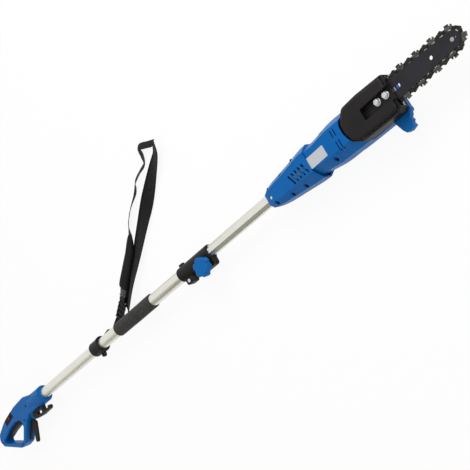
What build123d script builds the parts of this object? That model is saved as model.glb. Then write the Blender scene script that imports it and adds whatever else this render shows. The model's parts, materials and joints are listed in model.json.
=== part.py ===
"""Telescoping electric pole saw, lying on the flat left side of its motor housing.

The pole runs along X, from the rear handle at -X to the saw bar at +X. +Z is up, away from the floor, and it
is the side of the saw that carries the sprocket cover. Y is the saw's own upright: +Y is its back, and the
rear handle hangs towards -Y. The origin is the middle of the rest pad on the housing, on the floor. Every
piece is built about the pole's axis, and lifted to its height when it is written. Lengths are millimetres.
"""
import os
from math import acos, atan2, cos, degrees, hypot, pi, radians, sin, tan

from build123d import *

# Fits and clearances
GAP = 0.3                    # between two pieces that don't bear on each other
RUNNING_FIT = 0.05           # radial, shaft in bearing and bearing in seat
SLIDING_FIT = 0.1            # radial, tube in sleeve
OVERCUT = 1.0                # how far a cutter runs past the face it cuts

# Pole
AXIS_HEIGHT = 42.0
OUTER_TUBE_RADIUS = 16.0
TUBE_WALL = 1.3
OUTER_TUBE_REAR = -1262.0
OUTER_TUBE_FRONT = -400.0
INNER_TUBE_CORNER = 14.3     # centre to corner of the eight-sided inner tube
INNER_TUBE_REAR = -1080.0
INNER_TUBE_FRONT = -72.0
BUSH_LENGTH = 10.0
BUSH_SPIGOT = 20.0
LEAD_RADIUS = 6.5            # outside of the curly lead inside the pole
LEAD_OVERHANG = 4.0

# Foam grip
FOAM_RADIUS = 19.5
FOAM_REAR = -763.0
FOAM_LENGTH = 170.0
FOAM_ROUND = 3.0

# Strap collar
COLLAR_RADIUS = 21.0
COLLAR_REAR = -889.0
COLLAR_LENGTH = 40.0
COLLAR_FLANGE = 6.0
COLLAR_FLANGE_RADIUS = 22.5
EYELET_X = -863.0
EYELET_RADIUS = 3.5
EYELET_REACH = 25.5          # pole axis to eyelet
EYELET_WIDTH = 15.0
EYELET_THICK = 7.0
STRAP_EYE_TURN = -60.0       # the eyelet that holds the strap, turned down from +Y

# Clamp of the telescope
CLAMP_REAR = -463.0
CLAMP_FRONT = -342.0
CLAMP_RADIUS = 18.8
CLAMP_ROUND = 3.0
CLAMP_EARS = ((-452.0, -424.0), (-388.0, -342.0))  # rear and front end of each pair
CLAMP_EAR_DROP = 33.5        # pole axis to the ears' outer edge
CLAMP_EAR_HALF = 9.0
CLAMP_EAR_ROUND = 7.0
CLAMP_STOP = (-455.0, -441.0)
CLAMP_STOP_REACH = 24.0
CLAMP_STOP_HALF = 4.0
CLAMP_SPLIT = 1.6
CLAMP_BOLT_X = -366.0
CLAMP_BOLT_Y = -25.0
CLAMP_BOLT_RADIUS = 4.0
CLAMP_HEAD_RADIUS = 7.0
CLAMP_HEAD = 5.5
CLAMP_SCREW_X = -438.0
CLAMP_SCREW_RADIUS = 2.5
CLAMP_SCREW_HEAD_RADIUS = 4.5
CLAMP_SCREW_HEAD = 4.0
KNOB_RADIUS = 24.0
KNOB_LOBES = 6
KNOB_SCALLOP = 8.0
KNOB_SCALLOP_REACH = 28.5
KNOB_THICK = 16.0
KNOB_ROOF = 4.0
KNOB_HUB_RADIUS = 8.4
KNOB_HUB = 10.0
KNOB_ROUND = 3.0

# Rear handle
HANDLE_HALF = 18.0           # half thickness
HANDLE_WALL = 4.0
HANDLE_ROUND = 5.0
HANDLE_MOUTH = -1196.0
HANDLE_MOUTH_RADIUS = 22.0
HANDLE_MOUTH_LENGTH = 70.0
HANDLE_RIM = 36.0
HANDLE_RIM_RADIUS = 26.0
HANDLE_SPAN = 400.0          # longer than the handle, for cutting planes
INLAY_DEPTH = 2.2
INLAY_HALF = 12.0
INLAY_REAR = -1484.0
INLAY_FRONT = -1376.0
INLAY_LOW = -20.0
TRIGGER_HALF = 7.5
TRIGGER_PIN = (-1373.0, -10.0)
TRIGGER_PIN_RADIUS = 2.5
TRIGGER_SLOT = (-1464.0, -1361.0)
SWITCH = (-1438.0, -1410.0)
SWITCH_BASE = -9.0
SWITCH_TOP = 4.0
LOCK = (-1394.0, 6.0)
LOCK_RADIUS = 4.5
LOCK_STANDS = 4.0
LOCK_FLANGE_RADIUS = 6.5
LOCK_FLANGE = 3.0
HOOK_HALF = 6.0
CLIP_HALF = 4.0
INLET_HALF = 9.0
SCREW_RADIUS = 2.0
SCREW_HEAD_RADIUS = 4.0
SCREW_HEAD = 3.0
SCREW_REACH = 14.0           # past the parting plane
BOSS_RADIUS = 5.5

# Motor housing
WALL = 3.0
HOUSING_REACH = 90.0         # past the housing on every side, for cutting planes
TAIL = -112.0
SOCKET_DEPTH = 42.0
STEP = 38.0
COVER_REAR = 140.0
FRONT = 272.0
REST_LENGTH = 70.0
REST_WIDTH = 44.0
TUB_TOP = 4.0                # top of the front tub, above the pole axis
SCREW_SEAT = 12.0
TUBE_SCREW = (-96.0, -5.0)   # the screw that holds the pole in the tail
TUBE_SCREW_SEAT = 20.5
TUBE_SCREW_TIP = 9.0
LABEL_MIDDLE = (63.0, -7.5)
LABEL_SIZE = (50.0, 25.0)
LABEL_ROUND = 2.0
LABEL_THICK = 0.6
LOUVRES = 5
LOUVRE_PITCH = 11.5
LOUVRE_WIDTH = 4.5
LOUVRE_LENGTH = 27.0
LOUVRE_TURN = 112.0
LOUVRE_MIDDLE = (3.0, -9.0)
VENT_WIDTH = 2.6
VENTS = ((8.0, 17.0), (-19.5, 22.0))  # middle and length, across the housing
VENT_ROWS = (119.5, 127.5)
HOOK_HALF_THICK = 9.0

# Motor
STATOR_RADIUS = 26.0
STATOR_BORE = 17.6
STATOR_REAR = -34.0
STATOR_FRONT = 30.0
CORE_RADIUS = 17.0
MOTOR_SHAFT_RADIUS = 4.0
COMMUTATOR_RADIUS = 11.0
COMMUTATOR_REAR = -54.0
COMMUTATOR_LENGTH = 14.0
BRUSH_WIDTH = 10.0
BRUSH_LENGTH = 13.0
FAN_RADIUS = 27.0
FAN_HUB = 9.0
FAN_REAR = 88.0
FAN_DISC = 2.0
FAN_BLADE = 12.0
FAN_BLADES = 9
FAN_BLADE_THICK = 1.6
MOTOR_BEARING_RADIUS = 9.5
MOTOR_BEARING_WIDTH = 7.0
REAR_BEARING = -64.0
FRONT_BEARING = 116.0
RIB = 3.0

# Bevel drive
PINION_TEETH = 9
GEAR_TEETH = 27
CONE_DISTANCE = 28.0
TOOTH_FACE = 9.0
BACKLASH = 0.35
PRESSURE_ANGLE = 20.0
GEAR_RADIUS = 27.2
GEAR_HUB_RADIUS = 12.0
GEAR_TOOTH_BACK = 11.9       # apex to the plane behind the gear's teeth
GEAR_BACK = 16.0             # apex to the gear's back
GEAR_HUB_BACK = 22.0
SPROCKET_X = 175.5
DRIVE_SHAFT_RADIUS = 5.0
DRIVE_SHAFT_TOP = 29.0
LOWER_BEARING = -31.0
LOWER_BEARING_RADIUS = 11.0
LOWER_BEARING_WIDTH = 7.0
UPPER_BEARING_RADIUS = 13.0
UPPER_BEARING_WIDTH = 8.0
BEARING_BOSS = 3.5
PINION_POCKET = 11.3
GEAR_PLATE = 9.0

# Bar, sprockets and chain
BAR_MIDDLE = 22.0            # middle plane of the bar, above the pole axis
BAR_THICK = 4.0
BAR_TAIL = 200.0
BELLY_X = 268.0
BELLY_RADIUS = 180.0
BELLY_HALF = 21.5
GROOVE_WIDTH = 1.7
GROOVE_DEPTH = 6.5
SLOT_REAR = 226.0
SLOT_FRONT = 290.0
STUDS = (235.0, 257.0)
STUD_RADIUS = 4.0
STUD_TOP = 36.0
NUT_FLANGE_RADIUS = 7.5
NUT_FLANGE = 1.6
NUT_CORNER = 6.4
NUT_HEIGHT = 7.0
SEAT_HALF = 12.0
BAR_HOLE_X = 367.0
BAR_HOLE_RADIUS = 4.0
CHAIN_PITCH = 9.525          # rivet to rivet
DRIVE_LINKS = 32
SPROCKET_TEETH = 6
SPROCKET_RIM_RADIUS = 13.0
SPROCKET_NOTCH = 3.0
SPROCKET_CORE_RADIUS = 8.4
SPROCKET_HALF = 4.5
SPROCKET_GROOVE = 2.4
NOSE_LIFT = 0.9              # the nose wheel carries the chain this far off the rail
NOSE_WHEEL_RADIUS = 9.4
NOSE_WHEEL_TEETH = 7
NOSE_WHEEL_NOTCH = 2.0
NOSE_WHEEL_THICK = 1.2
NOSE_RIVET_RADIUS = 2.5
NOSE_BEARING_ROOM = 0.4
GREASE_HOLE = 7.5            # ahead of the nose wheel's axis
GREASE_HOLE_RADIUS = 1.7
NOSE_RIVET_HEAD_RADIUS = 4.0
NOSE_RIVET_HEAD = 0.5
RIVET_HEIGHT = 3.9           # rail to rivet
LINK_GAP = 0.08              # between the plates of the chain
DRIVE_LINK_THICK = 1.3
STRAP_THICK = 1.4
STRAP_BOTTOM = 3.7
STRAP_TOP = 3.8
LINK_END = 2.7               # rivet to the end of a link
TANG_DEPTH = 9.0
RIVET_RADIUS = 1.4
RIVET_CLEARANCE = 0.25
CUTTER_TOP = 8.0
CUTTER_PLATE = 1.2
CUTTER_REACH = 1.5
DEPTH_GAUGE_TOP = 6.8

# Sprocket cover
COVER_TOP = 42.0
COVER_WALL = 2.6
COVER_ROUND = 11.0
PANEL_OVERRUN = 8.0          # the panel's recess and the chain's mouth run out of the cover's front
MOUTH_OVERRUN = 20.0
PANEL_THICK = 4.0
CHAIN_ROOM = 4.2             # above the chain's middle plane, under the cover
MOUTH_HALF = 35.0
MOUTH_TOP = 31.0

# Oil tank, cap and pump
TANK_REAR = 208.0
TANK_FRONT = 244.0
TANK_MIDDLE = -5.0
TANK_HALF = 24.0
TANK_BASE = -20.0
TANK_WALL = 1.6
TANK_ROUND = 6.0
CAP_X = 222.0
CAP_RADIUS = 15.0
CAP_BASE = -40.5
CAP_RIBS = 12
CAP_NOTCH = 2.0
NECK_RADIUS = 11.0
NECK_BASE = -34.0
CAP_SEAT = -32.0
PUMP_LENGTH = 22.0
PUMP_WIDTH = 11.0
PUMP_DEPTH = 14.0
PUMP_AHEAD = 8.0
PUMP_ROOM = 2.0

# Shoulder strap, lying on the floor
WEB_THICK = 1.6
WEB_WIDTH = 24.0
BELT_THICK = 3.6
BELT_WIDTH = 38.0
PAD_WIDTH = 26.0
PAD_THICK = 14.0
PAD_END = 0.75               # size of the pad's ends against its middle
PAD_ROUND = 0.42             # corner radius against thickness
BUCKLE_WIDTH = 22.0
BUCKLE_THICK = 11.0
BUCKLE_ROUND = 4.0
PLUG_STEP = 1.0              # the plug is narrower and thinner than its socket by this on each side
ADJUSTER_WIDTH = 26.0
ADJUSTER_THICK = 9.0
ADJUSTER_ROUND = 5.0
STRAP_LIFT = 1.0             # floor to the buckle's underside
HOOK_WIRE = 2.2              # radius of the strap hook's wire
HOOK_LENGTH = 44.0
HOOK_NARROW = 7.0
HOOK_WIDE = 14.5
HOOK_CORNER = 5.0
LOOP_LENGTH = 19.0

BASE = (Align.CENTER, Align.CENTER, Align.MIN)
CORNER = (Align.MIN, Align.MIN, Align.MIN)
FLOOR = -AXIS_HEIGHT
SPROCKET_PITCH_RADIUS = SPROCKET_TEETH * CHAIN_PITCH / pi
NOSE_PITCH_RADIUS = NOSE_WHEEL_TEETH * CHAIN_PITCH / pi
BAR_TOP = BAR_MIDDLE + BAR_THICK / 2
BAR_SEAT = BAR_MIDDLE - BAR_THICK / 2 - SLIDING_FIT
PLATE_TOP = TUB_TOP + GEAR_PLATE
PANEL_BASE = BAR_TOP + GAP
pieces = {}


def rod(x0, x1, radius, y=0.0, z=0.0):
    """Round bar along X."""
    return Pos(x0, y, z) * Rot(0, 90, 0) * Cylinder(radius, x1 - x0, align=BASE)


def bore(x0, x1, radius):
    """Cutter for a round hole along X, which runs past both ends."""
    return rod(x0 - OVERCUT, x1 + OVERCUT, radius)


def tube(x0, x1, radius, hole):
    """Round tube along X."""
    return rod(x0, x1, radius) - bore(x0, x1, hole)


def post(x, y, z0, z1, radius):
    """Round bar along Z."""
    return Pos(x, y, z0) * Cylinder(radius, z1 - z0, align=BASE)


def ring(x, y, z0, z1, radius, hole):
    """Round tube along Z."""
    return post(x, y, z0, z1, radius) - post(x, y, z0 - OVERCUT, z1 + OVERCUT, hole)


def block(x0, x1, y0, y1, z0, z1):
    """Box between two corners."""
    return Pos(x0, y0, z0) * Box(x1 - x0, y1 - y0, z1 - z0, align=CORNER)


def slab(sketch, z0, z1):
    """Sketch of the XY plane made into a plate from z0 to z1."""
    return extrude(Pos(0, 0, z0) * sketch, z1 - z0, dir=(0, 0, 1))


def rounded(points):
    """Closed outline from (x, y, corner radius) points, taken anticlockwise."""
    face = Polygon(*[(x, y) for x, y, radius in points], align=None)
    for x, y, radius in points:
        if radius:
            face = fillet(face.vertices().sort_by_distance((x, y, 0))[0], radius)
    return face


def across(x, y, sketch):
    """Sketch set square across the pole: its x is Y, and its y is Z."""
    return Plane(origin=(x, y, 0), x_dir=(0, 1, 0), z_dir=(1, 0, 0)) * sketch


def eight_sided(x0, x1, corner):
    """Eight-sided bar along X with flats up, down and to the sides."""
    return extrude(across(x0, 0, RegularPolygon(corner, 8, rotation=22.5)), x1 - x0, dir=(1, 0, 0))


def put(name, *shapes):
    """Keep the solids of one piece, lifted to the height of the pole's axis."""
    solids = [solid for shape in shapes for solid in shape.solids()]
    whole = solids[0] if len(solids) == 1 else Compound(solids)
    pieces[name] = Pos(0, 0, AXIS_HEIGHT) * whole


def make_tubes():
    """The round outer tube, the eight-sided inner tube with its bush, and the lead inside them."""
    outer_bore = OUTER_TUBE_RADIUS - TUBE_WALL
    put("outer_tube", tube(OUTER_TUBE_REAR, OUTER_TUBE_FRONT, OUTER_TUBE_RADIUS, outer_bore))
    inside = INNER_TUBE_CORNER - TUBE_WALL / cos(pi / 8)
    hole = eight_sided(INNER_TUBE_REAR - OVERCUT, INNER_TUBE_FRONT + OVERCUT, inside)
    inner = eight_sided(INNER_TUBE_REAR, INNER_TUBE_FRONT, INNER_TUBE_CORNER) - hole
    put("inner_tube", inner - post(*TUBE_SCREW, 0, INNER_TUBE_CORNER, SCREW_RADIUS + RUNNING_FIT))
    bush_rear = INNER_TUBE_REAR - BUSH_LENGTH
    bush_front = INNER_TUBE_REAR + BUSH_SPIGOT
    bush = rod(bush_rear, INNER_TUBE_REAR, outer_bore - SLIDING_FIT)
    bush += eight_sided(INNER_TUBE_REAR, bush_front, inside - SLIDING_FIT)
    put("inner_tube_bush", bush - bore(bush_rear, bush_front, LEAD_RADIUS + GAP))
    put("curly_lead", rod(OUTER_TUBE_REAR - LEAD_OVERHANG, INNER_TUBE_FRONT - LEAD_OVERHANG, LEAD_RADIUS))


def make_foam_grip():
    front = FOAM_REAR + FOAM_LENGTH
    grip = rod(FOAM_REAR, front, FOAM_RADIUS)
    grip = fillet(grip.edges().filter_by(GeomType.CIRCLE), FOAM_ROUND)
    put("foam_grip", grip - bore(FOAM_REAR, front, OUTER_TUBE_RADIUS + SLIDING_FIT))


def make_strap_collar():
    """Ring on the outer tube with a front flange and two eyelets, one of them holding the strap."""
    front = COLLAR_REAR + COLLAR_LENGTH
    collar = rod(COLLAR_REAR, front, COLLAR_RADIUS)
    collar += rod(front - COLLAR_FLANGE, front, COLLAR_FLANGE_RADIUS)
    eye = Pos(EYELET_X, EYELET_REACH, 0)
    lug = eye * Cylinder(EYELET_WIDTH / 2, EYELET_THICK)
    lug += Pos(EYELET_X, EYELET_REACH / 2, 0) * Box(EYELET_WIDTH, EYELET_REACH, EYELET_THICK)
    lug -= eye * Cylinder(EYELET_RADIUS, 2 * EYELET_THICK)
    for turn in (180, STRAP_EYE_TURN):
        collar += Rot(turn, 0, 0) * lug
    put("strap_collar", collar - bore(COLLAR_REAR, front, OUTER_TUBE_RADIUS + RUNNING_FIT))


def make_clamp():
    """Split sleeve that ends the outer tube, with ears that a star knob draws together on the inner tube."""
    sleeve = rod(CLAMP_REAR, CLAMP_FRONT, CLAMP_RADIUS)
    sleeve = fillet(sleeve.edges().filter_by(GeomType.CIRCLE), CLAMP_ROUND)
    for rear, front in CLAMP_EARS:
        ears = rounded([(front, 0, 0), (rear, 0, 0), (rear, -CLAMP_EAR_DROP, CLAMP_EAR_ROUND),
                        (front, -CLAMP_EAR_DROP, CLAMP_EAR_ROUND)])
        sleeve += slab(ears, -CLAMP_EAR_HALF, CLAMP_EAR_HALF)
    sleeve += block(*CLAMP_STOP, 0, CLAMP_STOP_REACH, -CLAMP_STOP_HALF, CLAMP_STOP_HALF)
    sleeve -= bore(CLAMP_REAR, OUTER_TUBE_FRONT - OVERCUT + GAP, OUTER_TUBE_RADIUS + RUNNING_FIT)
    sleeve -= bore(OUTER_TUBE_FRONT, CLAMP_FRONT, INNER_TUBE_CORNER + SLIDING_FIT)
    sleeve -= block(CLAMP_EARS[0][0] - OVERCUT, CLAMP_FRONT + OVERCUT, -CLAMP_EAR_DROP - OVERCUT,
                    -INNER_TUBE_CORNER / 2, -CLAMP_SPLIT / 2, CLAMP_SPLIT / 2)
    for x, radius in ((CLAMP_BOLT_X, CLAMP_BOLT_RADIUS), (CLAMP_SCREW_X, CLAMP_SCREW_RADIUS)):
        sleeve -= post(x, CLAMP_BOLT_Y, -2 * CLAMP_EAR_HALF, 2 * CLAMP_EAR_HALF, radius + GAP)
    put("clamp_body", sleeve)

    knob_base = CLAMP_EAR_HALF + GAP
    knob_hole = KNOB_HUB + KNOB_THICK - KNOB_ROOF
    bolt = post(CLAMP_BOLT_X, CLAMP_BOLT_Y, -CLAMP_EAR_HALF, knob_base + knob_hole - GAP, CLAMP_BOLT_RADIUS)
    hexagon = RegularPolygon(CLAMP_HEAD_RADIUS, 6)
    bolt += Pos(CLAMP_BOLT_X, CLAMP_BOLT_Y, 0) * slab(hexagon, -CLAMP_EAR_HALF - CLAMP_HEAD, -CLAMP_EAR_HALF)
    put("clamp_bolt", bolt)
    screw = post(CLAMP_SCREW_X, CLAMP_BOLT_Y, -CLAMP_EAR_HALF, CLAMP_EAR_HALF, CLAMP_SCREW_RADIUS)
    for z in (CLAMP_EAR_HALF, -CLAMP_EAR_HALF - CLAMP_SCREW_HEAD):
        screw += post(CLAMP_SCREW_X, CLAMP_BOLT_Y, z, z + CLAMP_SCREW_HEAD, CLAMP_SCREW_HEAD_RADIUS)
    put("clamp_screw", screw)

    star = Circle(KNOB_RADIUS)
    for place in PolarLocations(KNOB_SCALLOP_REACH, KNOB_LOBES):
        star -= place * Circle(KNOB_SCALLOP)
    crown = slab(star, KNOB_HUB, KNOB_HUB + KNOB_THICK)
    crown = fillet(crown.faces().sort_by(Axis.Z)[-1].edges(), KNOB_ROUND)
    knob = crown + Cylinder(KNOB_HUB_RADIUS, KNOB_HUB, align=BASE)
    knob -= Cylinder(CLAMP_BOLT_RADIUS + RUNNING_FIT, knob_hole, align=BASE)
    put("clamp_knob", Pos(CLAMP_BOLT_X, CLAMP_BOLT_Y, knob_base) * knob)


HANDLE_SCREWS = ((-1287, 2), (-1324, -30), (-1487, -43), (-1384, -85))


def handle_outside():
    """Outline of the rear handle seen from its right side."""
    return rounded([
        (-1216, 22, 0), (-1250, 23, 20), (-1290, 32, 40), (-1355, 27, 50), (-1438, 9, 60), (-1492, -14, 18),
        (-1501, -34, 14), (-1490, -55, 12), (-1402, -93, 14), (-1370, -89, 10), (-1315, -38, 12), (-1290, -25, 14),
        (-1216, -23, 0)])


def finger_gap():
    """Opening between the grip, the front leg and the foot of the handle."""
    return rounded([(-1350, -20, 6), (-1377, -16, 8), (-1417, -21, 20), (-1472, -40, 6), (-1478, -48, 4),
                    (-1461, -54, 6), (-1413, -73, 10), (-1385, -79, 5), (-1374, -74, 5), (-1345, -42, 8)])


def hang_hook():
    """Side view of the hook under the neck: a tongue held inside, an eye for the cord and an open tip in front."""
    plate = rounded([
        (-1222, -23.5, 0), (-1246, -24.1, 0), (-1246, -19.5, 0), (-1258, -19.5, 0), (-1258, -24.4, 0),
        (-1284, -25.2, 0), (-1290, -33, 3), (-1282, -47, 6), (-1240, -51, 10), (-1196, -49, 4), (-1190, -44, 2),
        (-1194, -37, 2), (-1200, -37, 2), (-1203, -42, 2), (-1226, -42, 3), (-1226, -30, 3)])
    return plate - rounded([(-1238, -32, 3), (-1266, -32, 3), (-1266, -41, 3), (-1238, -43, 3)])


def trigger_outline():
    return rounded([(-1364, -6, 3), (-1380, -3, 3), (-1398, -15, 3), (-1450, -28, 2), (-1461, -32, 2),
                    (-1461, -40, 2), (-1452, -41, 2), (-1420, -34, 10), (-1388, -30, 10), (-1367, -31, 3)])


def handle_half(right):
    """One moulded half of the rear handle, made above the parting plane and turned over for the left."""
    outside = handle_outside()
    gap = finger_gap()
    shell = slab(outside - gap, 0, HANDLE_HALF)
    shell = fillet(shell.faces().sort_by(Axis.Z)[-1].edges(), HANDLE_ROUND)
    mouth_rear = HANDLE_MOUTH - HANDLE_MOUTH_LENGTH
    hollow = slab(offset(outside, -HANDLE_WALL) - offset(gap, HANDLE_WALL), -OVERCUT, HANDLE_HALF - HANDLE_WALL)
    shell -= hollow - block(mouth_rear, 0, -HANDLE_SPAN, HANDLE_SPAN, -OVERCUT, HANDLE_SPAN)
    shell += rod(mouth_rear, HANDLE_MOUTH, HANDLE_MOUTH_RADIUS)
    shell += rod(HANDLE_MOUTH - HANDLE_RIM, HANDLE_MOUTH, HANDLE_RIM_RADIUS)
    for x, y in HANDLE_SCREWS:
        shell += post(x, y, 0, HANDLE_HALF - HANDLE_WALL + OVERCUT, BOSS_RADIUS)
    pin_x, pin_y = TRIGGER_PIN
    shell += post(pin_x, pin_y, TRIGGER_HALF + GAP, HANDLE_HALF - HANDLE_WALL + OVERCUT, BOSS_RADIUS)
    shell -= block(HANDLE_MOUTH - 2 * HANDLE_SPAN, 0, -HANDLE_SPAN, HANDLE_SPAN, -HANDLE_SPAN, 0)
    shell -= post(pin_x, pin_y, 0, HANDLE_HALF - HANDLE_WALL, TRIGGER_PIN_RADIUS + RUNNING_FIT)
    shell -= bore(OUTER_TUBE_REAR - LEAD_OVERHANG, HANDLE_MOUTH, OUTER_TUBE_RADIUS + RUNNING_FIT)
    band = slab(outside - offset(outside, -INLAY_DEPTH - GAP), -OVERCUT, INLAY_HALF + GAP)
    shell -= band & block(INLAY_REAR - GAP, INLAY_FRONT + GAP, INLAY_LOW, HANDLE_SPAN, -OVERCUT, HANDLE_SPAN)
    shell -= block(TRIGGER_SLOT[0], TRIGGER_SLOT[1], finger_gap_middle(), SWITCH_BASE, -OVERCUT, TRIGGER_HALF + GAP)
    shell -= slab(offset(hang_hook(), GAP, kind=Kind.INTERSECTION), -OVERCUT, HOOK_HALF + GAP)
    shell -= slab(offset(inlet_room(), GAP), -OVERCUT, INLET_HALF + GAP)
    if not right:
        shell = mirror(shell, about=Plane.XY)
    for x, y in HANDLE_SCREWS:
        if right:
            shell -= post(x, y, HANDLE_HALF - SCREW_HEAD, HANDLE_HALF + OVERCUT, SCREW_HEAD_RADIUS + GAP)
        shell -= post(x, y, -SCREW_REACH - GAP, HANDLE_HALF, SCREW_RADIUS + GAP)
    if right:
        shell -= post(*LOCK, 0, HANDLE_HALF + OVERCUT, LOCK_RADIUS + GAP)
    return shell


def finger_gap_middle():
    return finger_gap().center().Y


def inlet_room():
    """Side view of the room for the mains inlet, in the rear end of the handle."""
    return Polygon((-1486, -31), (-1486, -19), (-1510, -19), (-1510, -31), align=None)


def make_handle():
    put("handle_right_half", handle_half(True))
    put("handle_left_half", handle_half(False))
    outside = handle_outside()
    band = slab(outside - offset(outside, -INLAY_DEPTH), -INLAY_HALF, INLAY_HALF)
    put("grip_inlay", band & block(INLAY_REAR, INLAY_FRONT, INLAY_LOW, HANDLE_SPAN, -HANDLE_SPAN, HANDLE_SPAN))
    screws = []
    for x, y in HANDLE_SCREWS:
        head = HANDLE_HALF - SCREW_HEAD
        screws.append(post(x, y, head, HANDLE_HALF - GAP, SCREW_HEAD_RADIUS)
                      + post(x, y, -SCREW_REACH, head, SCREW_RADIUS))
    put("handle_screws", *screws)
    pin_end = HANDLE_HALF - HANDLE_WALL - GAP
    put("trigger_pin", post(*TRIGGER_PIN, -pin_end, pin_end, TRIGGER_PIN_RADIUS))
    trigger = slab(trigger_outline(), -TRIGGER_HALF, TRIGGER_HALF)
    put("trigger", trigger - post(*TRIGGER_PIN, -pin_end, pin_end, TRIGGER_PIN_RADIUS + RUNNING_FIT))
    put("switch", block(SWITCH[0], SWITCH[1], SWITCH_BASE, SWITCH_TOP, -pin_end, pin_end))
    flange_top = HANDLE_HALF - HANDLE_WALL - GAP
    put("lock_button", post(*LOCK, flange_top - LOCK_FLANGE, flange_top, LOCK_FLANGE_RADIUS)
        + post(*LOCK, flange_top, HANDLE_HALF + LOCK_STANDS, LOCK_RADIUS))
    put("hang_hook", slab(hang_hook(), -HOOK_HALF, HOOK_HALF))
    put("mains_inlet", slab(inlet_room() & outside, -INLET_HALF, INLET_HALF))
    clip = rounded([(-1305, -41, 2), (-1314.4, -38, 0), (-1363.3, -83.4, 1), (-1360.8, -86.1, 1), (-1317, -53, 3),
                    (-1334, -101, 2), (-1329, -106, 2), (-1323, -103, 2), (-1304, -70, 8), (-1294, -51, 4)])
    put("cord_clip", slab(clip, -CLIP_HALF, CLIP_HALF))


HOUSING_SCREWS = ((-101, 17.5), (-90, -21.5), (-44, -29.5), (-50, 22.5), (-5, -34), (-12, 32.3), (93, -33.5), (87, 33))


def chamfered(half_width, half_depth, side_cut, depth_cut):
    """Eight-cornered section of the housing, its corners cut more in depth than in width."""
    w = half_width - side_cut
    d = half_depth - depth_cut
    return Polygon((half_width, d), (w, half_depth), (-w, half_depth), (-half_width, d),
                   (-half_width, -d), (-w, -half_depth), (w, -half_depth), (half_width, -d), align=None)


def housing_loft(sections, inset=0.0):
    """Smooth skin through (x, middle y, half width, half depth, side cut, depth cut) sections."""
    return loft([across(x, y, chamfered(w - inset, d - inset, *cuts)) for x, y, w, d, *cuts in sections])


REAR_BODY = ((TAIL, -2.5, 20, 20, 8, 10), (-102, -2.6, 23, 24, 9, 12), (-60, -2.9, 29.7, 31, 12, 17),
             (-10, -2.4, 36, 37, 15, 23), (STEP, -1.8, 40.5, 41, 17, 27))
MIDDLE_BODY = ((STEP, 0, 34.5, 37.5, 14, 24), (60, -2.3, 35, 38, 14, 24), (94, -2.5, 40, 40, 16, 26),
               (120, -1.9, 41.3, 41, 17, 27), (COVER_REAR, -2.6, 41.5, 41, 17, 27))
FRONT_BODY = ((COVER_REAR, -2.6, 41.5, 41, 17, 27), (190, -4, 41, 38.5, 15, 24), (235, -5, 40, 31, 13, 18),
              (256, -5, 39, 22, 11, 12), (FRONT, -5, 37, 9, 5, 4))


def slice_of(x0, x1, z0=-HOUSING_REACH, z1=HOUSING_REACH):
    """Block as wide as needed to cut the housing, between two places along it and two heights."""
    return block(x0, x1, -HOUSING_REACH, HOUSING_REACH, z0, z1)


def cover_outline():
    """Outline of the sprocket cover, round at the rear."""
    return rounded([(FRONT + 1, 37, 4), (205, 40, 40), (164, 38, 16), (142, 14, 25), (142, -10, 25), (150, -32, 18),
                    (168, -44, 12), (262, -45.5, 6), (FRONT + 1, -37, 5)])


def branch_hook():
    """Hook below the bar that holds the saw against a branch, with a toothed front edge."""
    return Polygon((228, -44), (236, -68), (241, -76), (250, -77.5), (262, -74), (260, -66), (264, -62),
                   (262, -56), (266, -52), (268, -47), (272, -46), (273, -40), (268, -26), (250, -30), align=None)


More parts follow.
